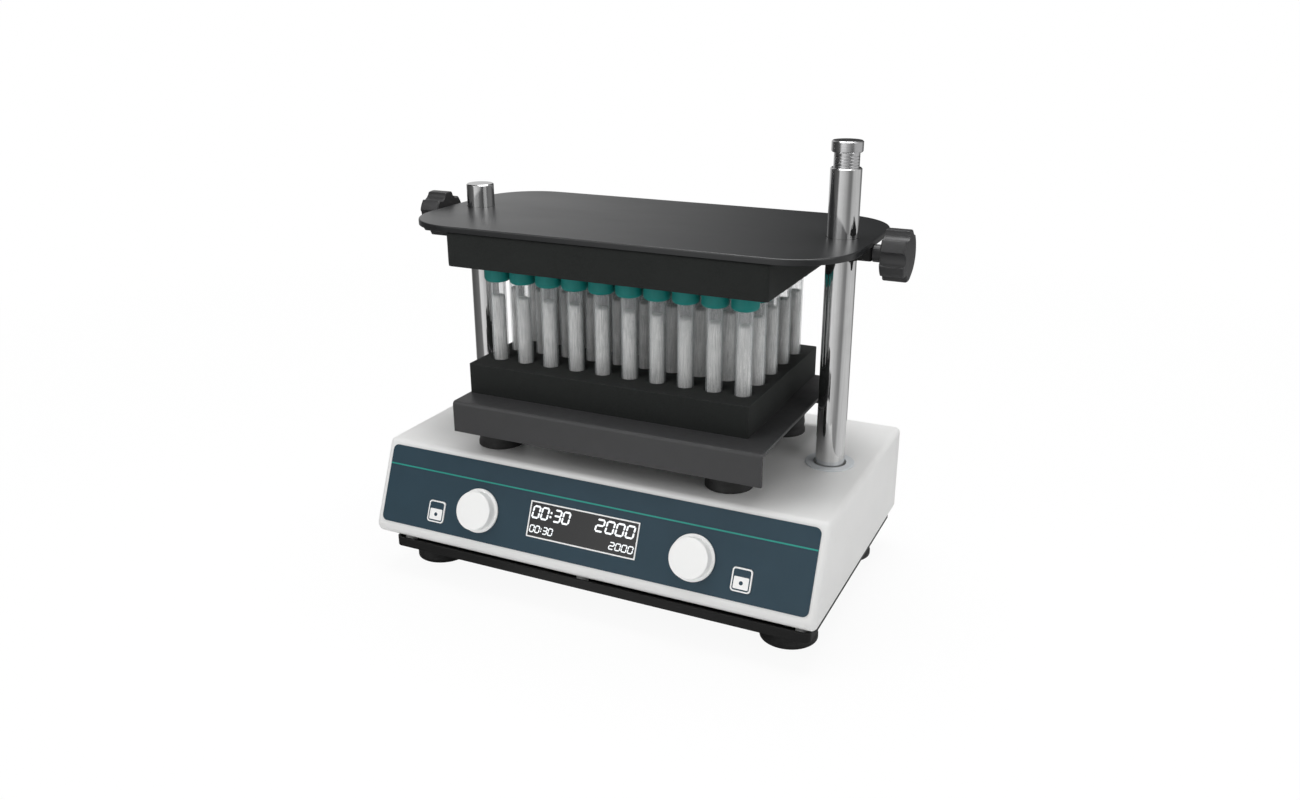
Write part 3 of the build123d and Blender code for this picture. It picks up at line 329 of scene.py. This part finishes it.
black_rubber = rubber("black_rubber", srgb(32, 32, 32))
black_foam = foam("black_foam", srgb(35, 37, 36))
plate_black = plate_material("plate_black")
clear_glass = thin_glass("clear_glass", srgb(226, 229, 230))
pale_sample = sample_material("pale_sample")
green_board = board_material("green_board")
digit_white = glowing("digit_white", srgb(240, 244, 246), 0.5)
polished = metal("polished_steel", srgb(222, 222, 222), 0.09, (1.0, 1.0, 0.04), spread=0.03)
turned = metal("turned_steel", srgb(205, 205, 206), 0.2, (0.04, 0.04, 1.0))
zinc = metal("zinc_steel", srgb(176, 178, 182), 0.32)
aluminium = metal("machined_aluminium", srgb(196, 197, 200), 0.3, (0.1, 0.1, 1.0))
race = metal("steel_race", srgb(190, 190, 192), 0.18)

looks = {
    "white_housing": white,
    "black_pan": pan_black,
    "black_rubber": black_rubber,
    "bright_screws": zinc,
    "blue_panel": slate,
    "white_trim": trim_white,
    "dark_window": window,
    "display_black": display_black,
    "green_board": green_board,
    "zinc_steel": zinc,
    "black_plastic": black_plastic,
    "polished_steel": polished,
    "collar_grey": collar_grey,
    "machined_aluminium": aluminium,
    "copper_stator": copper,
    "steel_race": race,
    "dark_tray": tray_grey,
    "black_foam": black_foam,
    "clear_glass": clear_glass,
    "pale_sample": pale_sample,
    "teal_cap": teal_cap,
    "black_plate": plate_black,
}


def smooth_group():
    """Modifier that joins split corners and shades round faces smoothly, up to an edge angle."""
    group = bpy.data.node_groups.new("smooth_round_faces", "GeometryNodeTree")
    group.interface.new_socket("Geometry", in_out="INPUT", socket_type="NodeSocketGeometry")
    group.interface.new_socket("Geometry", in_out="OUTPUT", socket_type="NodeSocketGeometry")
    start = group.nodes.new("NodeGroupInput")
    end = group.nodes.new("NodeGroupOutput")
    bare = group.nodes.new("GeometryNodeRemoveAttribute")
    bare.inputs["Name"].default_value = "custom_normal"
    merge = group.nodes.new("GeometryNodeMergeByDistance")
    merge.inputs["Distance"].default_value = 0.000002
    faces = group.nodes.new("GeometryNodeSetShadeSmooth")
    faces.domain = "FACE"
    edges = group.nodes.new("GeometryNodeSetShadeSmooth")
    edges.domain = "EDGE"
    angle = group.nodes.new("GeometryNodeInputMeshEdgeAngle")
    shallow = group.nodes.new("ShaderNodeMath")
    shallow.operation = "LESS_THAN"
    shallow.inputs[1].default_value = math.radians(32)
    links = group.links
    links.new(start.outputs[0], bare.inputs["Geometry"])
    links.new(bare.outputs["Geometry"], merge.inputs["Geometry"])
    links.new(merge.outputs["Geometry"], faces.inputs["Geometry"])
    links.new(faces.outputs["Geometry"], edges.inputs["Geometry"])
    links.new(angle.outputs["Unsigned Angle"], shallow.inputs[0])
    links.new(shallow.outputs[0], edges.inputs["Shade Smooth"])
    links.new(edges.outputs["Geometry"], end.inputs[0])
    return group


smoothing = smooth_group()
for part in frame["record"]["subparts"]:
    node = nodes[part["node"]]
    node.data.materials.clear()
    node.data.materials.append(looks[part["material_slot"]])
    node.modifiers.new("smooth", "NODES").node_group = smoothing
nodes["post_cap"].data.materials[0] = turned


# Mesh building blocks


def piece(name, bm, body, material, stands_for=(), smooth=True):
    """Makes an object from a bmesh, gives it its material and lets it ride on a body."""
    mesh = bpy.data.meshes.new(name)
    bmesh.ops.recalc_face_normals(bm, faces=bm.faces)
    bm.to_mesh(mesh)
    bm.free()
    mesh.materials.append(material)
    for face in mesh.polygons:
        face.use_smooth = smooth
    made = bpy.data.objects.new(name, mesh)
    scene.collection.objects.link(made)
    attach(made, body)
    if stands_for:
        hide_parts(*stands_for)
    return made


def lathe(bm, outline, centre, segments=40, turn=0.0):
    """Adds a turned form: a list of radius and height, closed at the axis where the radius is 0."""
    rings = []
    for radius, height in outline:
        if radius == 0:
            rings.append([bm.verts.new((centre[0], centre[1], height))])
            continue
        ring = []
        for k in range(segments):
            angle = turn + 2 * math.pi * k / segments
            place = (centre[0] + radius * math.cos(angle), centre[1] + radius * math.sin(angle), height)
            ring.append(bm.verts.new(place))
        rings.append(ring)
    for low, high in zip(rings, rings[1:]):
        for k in range(segments):
            after = (k + 1) % segments
            corners = [low[k % len(low)], low[after % len(low)], high[after % len(high)], high[k % len(high)]]
            unique = list(dict.fromkeys(corners))
            if len(unique) > 2:
                bm.faces.new(unique)


def tube_places():
    first = -tube_pitch_x * (tube_columns - 1) / 2
    return [
        (first + c * tube_pitch_x, tube_front_y + r * tube_pitch_y)
        for r in range(tube_rows)
        for c in range(tube_columns)
    ]


def arc(centre_r, centre_z, radius, start, end, steps):
    """Points of an arc in the radius and height plane, angles in degrees."""
    points = []
    for k in range(steps + 1):
        angle = math.radians(start + (end - start) * k / steps)
        points.append((centre_r + radius * math.cos(angle), centre_z + radius * math.sin(angle)))
    return points


def on_panel(across, down, out):
    """A point of the sloped front: across, down the slope, and out along its normal."""
    y = front_reach + slope_run - down * slope_sine - out * slope_cosine + shift_y
    return Vector((across, y, housing_top - down * slope_cosine + out * slope_sine))


def panel_strip(bm, corners, low, high):
    """Adds a thin flat print or bar on the sloped front, from its corners across and down."""
    top = [bm.verts.new(on_panel(u, s, high)) for u, s in corners]
    bottom = [bm.verts.new(on_panel(u, s, low)) for u, s in corners]
    bm.faces.new(top)
    bm.faces.new(bottom[::-1])
    for k in range(len(corners)):
        after = (k + 1) % len(corners)
        bm.faces.new((top[k], bottom[k], bottom[after], top[after]))


# Tubes, samples and caps

tube_radius = 0.0067
tube_wall = 0.001
tube_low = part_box("tubes")[0].z
tube_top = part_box("tubes")[1].z
sample_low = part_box("samples")[0].z
sample_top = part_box("samples")[1].z
cap_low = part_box("tube_caps")[0].z
cap_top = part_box("tube_caps")[1].z
cap_radius = 0.011


def make_tubes():
    bm = bmesh.new()
    inner = tube_radius - tube_wall
    outline = [(0, tube_low)] + arc(0, tube_low + tube_radius, tube_radius, -75, 0, 6)
    outline += [(tube_radius, tube_top - 0.001), (tube_radius, tube_top), (inner, tube_top)]
    outline += arc(0, tube_low + tube_radius, inner, 0, -75, 6) + [(0, tube_low + tube_wall)]
    for centre in tube_places():
        lathe(bm, outline, centre, 32)
    return piece("glass_tubes", bm, "shaker_tray", clear_glass, ["tubes"])


def make_samples():
    bm = bmesh.new()
    radius = tube_radius - tube_wall - 0.00008
    shoulder = 0.0022
    outline = [(0, sample_low)] + arc(0, sample_low + radius, radius, -75, 0, 6)
    outline += arc(radius - shoulder, sample_top - shoulder, shoulder, 0, 90, 5) + [(0, sample_top)]
    for centre in tube_places():
        lathe(bm, outline, centre, 28, random.random())
    return piece("sample_columns", bm, "shaker_tray", pale_sample, ["samples"])


def make_caps():
    bm = bmesh.new()
    round_low = 0.0035
    bead = 0.0008
    bore = tube_radius + 0.00005
    outline = [(bore, tube_top), (bore, cap_low + 0.0006), (bore + 0.0008, cap_low)]
    outline += arc(cap_radius - round_low, cap_low + round_low, round_low, -90, 0, 6)
    outline += arc(cap_radius - bead, cap_top - bead, bead, 0, 90, 4)
    outline += [(0, cap_top)]
    outline = [(0, tube_top)] + outline
    for centre in tube_places():
        lathe(bm, outline, centre, 40)
    return piece("teal_caps", bm, "shaker_tray", teal_cap, ["tube_caps"])


make_tubes()
make_samples()
make_caps()


# Foam


def lumpy(point, size, amount):
    """A small smooth offset that depends on the place only."""
    return noise.noise(point * size) * amount


def make_rack():
    """Foam block with a hole for each tube, whose rim is drawn down a little by the tube."""
    low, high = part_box("foam_rack")
    bm = bmesh.new()
    hole = 0.0069
    rim_profile = [(0, 0.0035), (0.0001, 0.0012), (0.0008, 0.0004), (0.0026, 0)]
    steps = 28
    floor = low.z + 0.003
    places = tube_places()
    column_x = [places[c][0] for c in range(tube_columns)]
    row_y = [places[r * tube_columns][1] for r in range(tube_rows)]
    x_edges = [low.x] + [(a + b) / 2 for a, b in zip(column_x, column_x[1:])] + [high.x]
    y_edges = [low.y] + [(a + b) / 2 for a, b in zip(row_y, row_y[1:])] + [high.y]
    edge_round = 0.0012
    top = high.z

    def border(x0, x1, y0, y1, cx, cy, angle):
        """The point where a ray from the hole's middle leaves its cell."""
        dx, dy = math.cos(angle), math.sin(angle)
        reach = []
        if abs(dx) > 1e-9:
            reach.append(((x1 if dx > 0 else x0) - cx) / dx)
        if abs(dy) > 1e-9:
            reach.append(((y1 if dy > 0 else y0) - cy) / dy)
        t = min(reach)
        return cx + dx * t, cy + dy * t

    def circle(cx, cy, radius, z, angles):
        return [bm.verts.new((cx + radius * math.cos(a), cy + radius * math.sin(a), z)) for a in angles]

    for r in range(tube_rows):
        for c in range(tube_columns):
            cx, cy = places[r * tube_columns + c]
            x0, x1 = x_edges[c], x_edges[c + 1]
            y0, y1 = y_edges[r], y_edges[r + 1]
            corners = [math.atan2(y - cy, x - cx) for x in (x0, x1) for y in (y0, y1)]
            angles = [2 * math.pi * k / steps - math.pi for k in range(steps)] + corners
            angles = sorted(set(round(a, 6) for a in angles))
            outer = [border(x0, x1, y0, y1, cx, cy, a) for a in angles]
            rings = [circle(cx, cy, hole + wider, top - drop, angles) for wider, drop in rim_profile]
            rings.append([bm.verts.new((x, y, top)) for x, y in outer])
            rings.insert(0, circle(cx, cy, hole, floor, angles))
            for inner, wider in zip(rings, rings[1:]):
                for k in range(len(angles)):
                    after = (k + 1) % len(angles)
                    bm.faces.new((inner[k], inner[after], wider[after], wider[k]))
            bm.faces.new(rings[0][::-1])
    bmesh.ops.remove_doubles(bm, verts=bm.verts, dist=0.00002)
    rim = [e for e in bm.edges if e.is_boundary]
    made = bmesh.ops.extrude_edge_only(bm, edges=rim)
    lower = [v for v in made["geom"] if isinstance(v, bmesh.types.BMVert)]
    for v in lower:
        v.co.z = low.z
    sides = [e for e in made["geom"] if isinstance(e, bmesh.types.BMEdge) and e.is_boundary]
    bmesh.ops.contextual_create(bm, geom=sides)

    def at_corner(point):
        x_gap = min(abs(point.x - low.x), abs(point.x - high.x))
        y_gap = min(abs(point.y - low.y), abs(point.y - high.y))
        return x_gap < 1e-6 and y_gap < 1e-6

    corners = [
        e
        for e in bm.edges
        if abs(e.verts[0].co.z - e.verts[1].co.z) > 0.02 and at_corner(e.verts[0].co)
    ]
    bmesh.ops.bevel(bm, geom=corners, offset=edge_round, segments=3, affect="EDGES", profile=0.5)
    return piece("rack_foam", bm, "shaker_tray", black_foam, ["foam_rack"], smooth=False)


def make_cushion():
    """Foam block under the plate, its sides a little uneven and its underside dented by the caps."""
    low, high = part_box("cushion")
    bm = bmesh.new()
    counts = (92, 62, 10)
    size = high - low
    bmesh.ops.create_cube(bm, size=1.0)
    for axis, count in enumerate(counts):
        cut = [e for e in bm.edges if abs((e.verts[0].co - e.verts[1].co)[axis]) > 1.5 / count]
        bmesh.ops.subdivide_edges(bm, edges=cut, cuts=count - 1, use_grid_fill=True)
    centre = (low + high) / 2
    half = size / 2
    edge = 0.0014
    dent = 0.0011
    dent_radius = cap_radius * 1.25
    for v in bm.verts:
        p = Vector(v.co[a] * size[a] for a in range(3))
        inner = Vector(max(-half[a] + edge, min(half[a] - edge, p[a])) for a in range(3))
        out = p - inner
        if out.length > 1e-9 and sum(abs(o) > 1e-7 for o in out) > 1:
            p = inner + out.normalized() * edge
        world = p + centre
        side = max(abs(p.x) / half.x, abs(p.y) / half.y)
        if side > 0.98:
            pull = lumpy(world, 38, 0.00035) - 0.0002
            world.x += pull * (1 if p.x > 0 else -1) * (abs(p.x) / half.x > 0.98)
            world.y += pull * (1 if p.y > 0 else -1) * (abs(p.y) / half.y > 0.98)
        if p.z < -half.z + 0.0002:
            for x, y in places_near(world.x, world.y):
                gap = math.hypot(world.x - x, world.y - y)
                world.z += dent * max(0.0, 1 - (gap / dent_radius) ** 4)
        v.co = world
    return piece("cushion_foam", bm, "clamp", black_foam, ["cushion"])


def places_near(x, y):
    """The tubes whose caps may touch this place."""
    reach = 0.015
    return [p for p in tube_places() if abs(p[0] - x) < reach and abs(p[1] - y) < reach]


rack = make_rack()
cushion = make_cushion()


# Print on the panel, digits and key faces

print_low = panel_thickness
print_high = panel_thickness + 0.00004


def box_corners(across, down, half_width, half_height):
    """Corners of a rectangle on the panel, from its middle across and down."""
    left, right = across - half_width, across + half_width
    top, bottom = down - half_height, down + half_height
    return [(left, top), (right, top), (right, bottom), (left, bottom)]


def make_teal_line():
    bm = bmesh.new()
    half_length = 0.1937
    middle = 0.0213
    half = 0.0006
    panel_strip(bm, box_corners(0, middle, half_length, half), print_low, print_high)
    piece("teal_line", bm, "base", teal_print, smooth=False)


# The lit bars of each digit that the display shows, and how far the digits lean to the right
bars_of = {"0": "abcdef", "2": "abged", "3": "abgcd"}
digit_lean = 0.14
digit_low = print_low - 0.00002


def digit(bm, text, left, top, width, height, weight):
    """Adds one seven-segment digit on the display."""
    bars = {
        "a": (0, 0, 1, 0),
        "g": (0, 0.5, 1, 0.5),
        "d": (0, 1, 1, 1),
        "f": (0, 0, 0, 0.5),
        "b": (1, 0, 1, 0.5),
        "e": (0, 0.5, 0, 1),
        "c": (1, 0.5, 1, 1),
    }
    gap = weight * 0.08
    for bar in bars_of[text]:
        x0, y0, x1, y1 = bars[bar]
        start = Vector((x0 * width, y0 * height))
        end = Vector((x1 * width, y1 * height))
        along = (end - start).normalized()
        side = Vector((-along.y, along.x)) * weight / 2
        start += along * gap
        end -= along * gap
        tip = along * weight / 2
        shape = [start, start + tip + side, end - tip + side, end, end - tip - side, start + tip - side]
        corners = [(left + p.x + digit_lean * (height - p.y), top + p.y) for p in shape]
        panel_strip(bm, corners, digit_low, print_high)


def number(bm, text, left, right, top, bottom, weight):
    """Adds a number that fills the width between left and right; a colon takes half a digit's place."""
    height = bottom - top
    colon_width = 0.45
    pitches = sum(colon_width if c == ":" else 1.0 for c in text)
    step = (right - left - digit_lean * height) / pitches
    at = left
    for c in text:
        if c == ":":
            for part in (0.32, 0.68):
                x = at + step * 0.16 + digit_lean * height * (1 - part)
                half = weight * 0.55
                panel_strip(bm, box_corners(x, top + height * part, half, half), digit_low, print_high)
            at += step * colon_width
        else:
            digit(bm, c, at + step * 0.1, top, step * 0.72, height, weight)
            at += step


def make_digits():
    bm = bmesh.new()
    number(bm, "00:30", -0.048, -0.0106, 0.0325, 0.0419, 0.0015)
    number(bm, "2000", 0.0106, 0.0479, 0.0325, 0.0419, 0.0015)
    number(bm, "00:30", -0.048, -0.025, 0.0483, 0.0537, 0.0009)
    number(bm, "2000", 0.0252, 0.0482, 0.0483, 0.0537, 0.0009)
    piece("display_digits", bm, "base", digit_white, smooth=False)


def rounded(across, down, half_width, half_height, radius, steps=5):
    """Corners of a rounded rectangle on the panel, from its middle across and down."""
    corners = []
    for quarter, (sx, sy) in enumerate(((1, 1), (-1, 1), (-1, -1), (1, -1))):
        for k in range(steps + 1):
            angle = math.radians(90 * (quarter + k / steps))
            u = across + sx * (half_width - radius) + radius * math.cos(angle)
            s = down + sy * (half_height - radius) + radius * math.sin(angle)
            corners.append((u, s))
    return corners


key_across = 0.1392
key_down = 0.0548
key_half_width = 0.0081
key_half_height = 0.0092
key_face = panel_thickness + 0.0008
key_border = 0.0011
key_print = 0.00003


def make_key_print(side, body):
    """Dark field on the key with a pale block and a plain dot on it, each print on the one before."""
    across = side * key_across
    half_width = key_half_width - key_border
    half_height = key_half_height - key_border
    block_down = key_down + 0.0023
    dot_radius = 0.0016
    field = rounded(across, key_down, half_width, half_height, 0.0018)
    block = rounded(across, block_down, half_width - 0.0009, 0.0047, 0.0008)
    dot = rounded(across, block_down, dot_radius, dot_radius, dot_radius)
    prints = [("_field", field, slate), ("_square", block, trim_white), ("_dot", dot, slate)]
    low = key_face
    for name, corners, material in prints:
        bm = bmesh.new()
        panel_strip(bm, corners, low, low + key_print)
        piece(body + name, bm, body, material, smooth=False)
        low += key_print


make_teal_line()
make_digits()
make_key_print(-1, "left_key")
make_key_print(1, "right_key")


# Studio: floor, background, lamps and camera

# What polished metal mirrors around the object: the compass angle in degrees, and how bright it is
studio_bands = [
    (-180, 0.02),
    (-150, 0.05),
    (-124, 0.1),
    (-114, 0.82),
    (-90, 0.72),
    (-60, 0.46),
    (-42, 0.2),
    (-28, 0.17),
    (-16, 0.52),
    (10, 0.64),
    (46, 0.62),
    (56, 0.24),
    (80, 0.12),
    (92, 0.03),
    (106, 0.04),
    (128, 0.75),
    (146, 0.5),
    (162, 0.08),
    (180, 0.02),
]


def banded(tree, coordinates):
    """The brightness around the object, from a point or a direction."""
    parts = tree.nodes.new("ShaderNodeSeparateXYZ")
    turn = tree.nodes.new("ShaderNodeMath")
    turn.operation = "ARCTAN2"
    spread = tree.nodes.new("ShaderNodeMapRange")
    spread.inputs["From Min"].default_value = -math.pi
    spread.inputs["From Max"].default_value = math.pi
    bands = tree.nodes.new("ShaderNodeValToRGB")
    ramp = bands.color_ramp
    while len(ramp.elements) < len(studio_bands):
        ramp.elements.new(0.5)
    for element, (angle, value) in zip(ramp.elements, studio_bands):
        element.position = (angle + 180) / 360
        element.color = (value, value, value, 1)
    tree.links.new(coordinates, parts.inputs[0])
    tree.links.new(parts.outputs["Y"], turn.inputs[0])
    tree.links.new(parts.outputs["X"], turn.inputs[1])
    tree.links.new(turn.outputs[0], spread.inputs["Value"])
    tree.links.new(spread.outputs[0], bands.inputs[0])
    return bands.outputs[0]


def ray_share(tree, rays, share):
    """A share, as a number or a socket, where the ray is one of the named kinds, and 0 elsewhere."""
    path = tree.nodes.new("ShaderNodeLightPath")
    value = path.outputs[rays[0]]
    for name in rays[1:]:
        either = tree.nodes.new("ShaderNodeMath")
        either.operation = "MAXIMUM"
        tree.links.new(value, either.inputs[0])
        tree.links.new(path.outputs[name], either.inputs[1])
        value = either.outputs[0]
    part = tree.nodes.new("ShaderNodeMath")
    part.operation = "MULTIPLY"
    if isinstance(share, bpy.types.NodeSocket):
        tree.links.new(share, part.inputs[1])
    else:
        part.inputs[1].default_value = share
    tree.links.new(value, part.inputs[0])
    return part.outputs[0]


def blend_shaders(tree, share, first, second):
    mix = tree.nodes.new("ShaderNodeMixShader")
    tree.links.new(share, mix.inputs[0])
    tree.links.new(first, mix.inputs[1])
    tree.links.new(second, mix.inputs[2])
    return mix.outputs[0]


def whiter_far_away(tree, coordinates, near, far, near_share):
    """The floor's white share: near_share around the object and 1 beyond the far distance."""
    distance = tree.nodes.new("ShaderNodeVectorMath")
    distance.operation = "LENGTH"
    tree.links.new(coordinates, distance.inputs[0])
    share = tree.nodes.new("ShaderNodeMapRange")
    share.inputs["From Min"].default_value = near
    share.inputs["From Max"].default_value = far
    share.inputs["To Min"].default_value = near_share
    tree.links.new(distance.outputs["Value"], share.inputs["Value"])
    return share.outputs[0]


def make_floor():
    """White floor that keeps the object's shadow."""
    bm = bmesh.new()
    bmesh.ops.create_grid(bm, x_segments=8, y_segments=8, size=12.0)
    mesh = bpy.data.meshes.new("studio_floor")
    bm.to_mesh(mesh)
    bm.free()
    floor = bpy.data.objects.new("studio_floor", mesh)
    scene.collection.objects.link(floor)
    material = bpy.data.materials.new("studio_floor")
    material.use_nodes = True
    tree = material.node_tree
    shader = tree.nodes["Principled BSDF"]
    shader.inputs["Base Color"].default_value = (0.9, 0.9, 0.9, 1)
    shader.inputs["Roughness"].default_value = 0.9
    white_light = tree.nodes.new("ShaderNodeEmission")
    white_light.inputs["Strength"].default_value = 1.0
    mirrored = tree.nodes.new("ShaderNodeEmission")
    place = tree.nodes.new("ShaderNodeTexCoord")
    tree.links.new(banded(tree, place.outputs["Object"]), mirrored.inputs["Color"])
    share = whiter_far_away(tree, place.outputs["Object"], 0.35, 1.4, 0.93)
    seen = ray_share(tree, ["Is Camera Ray", "Is Transmission Ray"], share)
    both = blend_shaders(tree, seen, shader.outputs[0], white_light.outputs[0])
    glossy = ray_share(tree, ["Is Glossy Ray"], 0.9)
    both = blend_shaders(tree, glossy, both, mirrored.outputs[0])
    tree.links.new(both, tree.nodes["Material Output"].inputs[0])
    mesh.materials.append(material)


def make_world():
    """White where it is seen, plain where it lights the object, and in bands where metal mirrors it."""
    world = bpy.data.worlds.new("studio")
    scene.world = world
    world.use_nodes = True
    tree = world.node_tree
    seen = tree.nodes["Background"]
    seen.inputs["Strength"].default_value = 1.0
    seen.inputs["Color"].default_value = (1, 1, 1, 1)
    lit = tree.nodes.new("ShaderNodeBackground")
    lit.inputs["Strength"].default_value = 0.42
    mirrored = tree.nodes.new("ShaderNodeBackground")
    place = tree.nodes.new("ShaderNodeTexCoord")
    tree.links.new(banded(tree, place.outputs["Generated"]), mirrored.inputs["Color"])
    glossy = ray_share(tree, ["Is Glossy Ray"], 1.0)
    both = blend_shaders(tree, glossy, lit.outputs[0], mirrored.outputs[0])
    white_rays = ray_share(tree, ["Is Camera Ray", "Is Transmission Ray"], 1.0)
    both = blend_shaders(tree, white_rays, both, seen.outputs[0])
    tree.links.new(both, tree.nodes["World Output"].inputs[0])


def lamp(name, place, target, size, power):
    data = bpy.data.lights.new(name, "AREA")
    data.shape = "RECTANGLE"
    data.size, data.size_y = size
    data.energy = power
    made = bpy.data.objects.new(name, data)
    made.location = place
    made.rotation_euler = (Vector(target) - Vector(place)).to_track_quat("-Z", "Y").to_euler()
    scene.collection.objects.link(made)


def make_camera():
    data = bpy.data.cameras.new("camera")
    data.sensor_width = sensor_width
    data.lens = camera_focal / photo_width * sensor_width
    data.clip_start = 0.01
    made = bpy.data.objects.new("camera", data)
    level = math.cos(camera_pitch)
    forward = Vector((math.sin(camera_yaw) * level, math.cos(camera_yaw) * level, -math.sin(camera_pitch)))
    right = Vector((math.cos(camera_yaw), -math.sin(camera_yaw), 0))
    up = right.cross(forward)
    tilted_right = right * math.cos(camera_roll) + up * math.sin(camera_roll)
    tilted_up = up * math.cos(camera_roll) - right * math.sin(camera_roll)
    turn = Matrix((tilted_right, tilted_up, -forward)).transposed().to_4x4()
    made.matrix_world = Matrix.Translation(camera_place) @ turn
    scene.collection.objects.link(made)
    scene.camera = made


make_floor()
make_world()
lamp("key", (-0.9, -1.3, 1.4), (0, 0, 0.15), (1.2, 1.0), 7.5)
lamp("front", (-0.3, -1.6, 0.45), (0, 0, 0.12), (1.4, 0.5), 1.6)
lamp("fill", (1.6, -0.6, 1.0), (0, 0, 0.15), (1.0, 1.4), 5.5)
lamp("top", (0.0, 0.3, 1.9), (0, 0, 0.1), (1.4, 1.2), 30)
make_camera()
scene.view_settings.view_transform = "Standard"
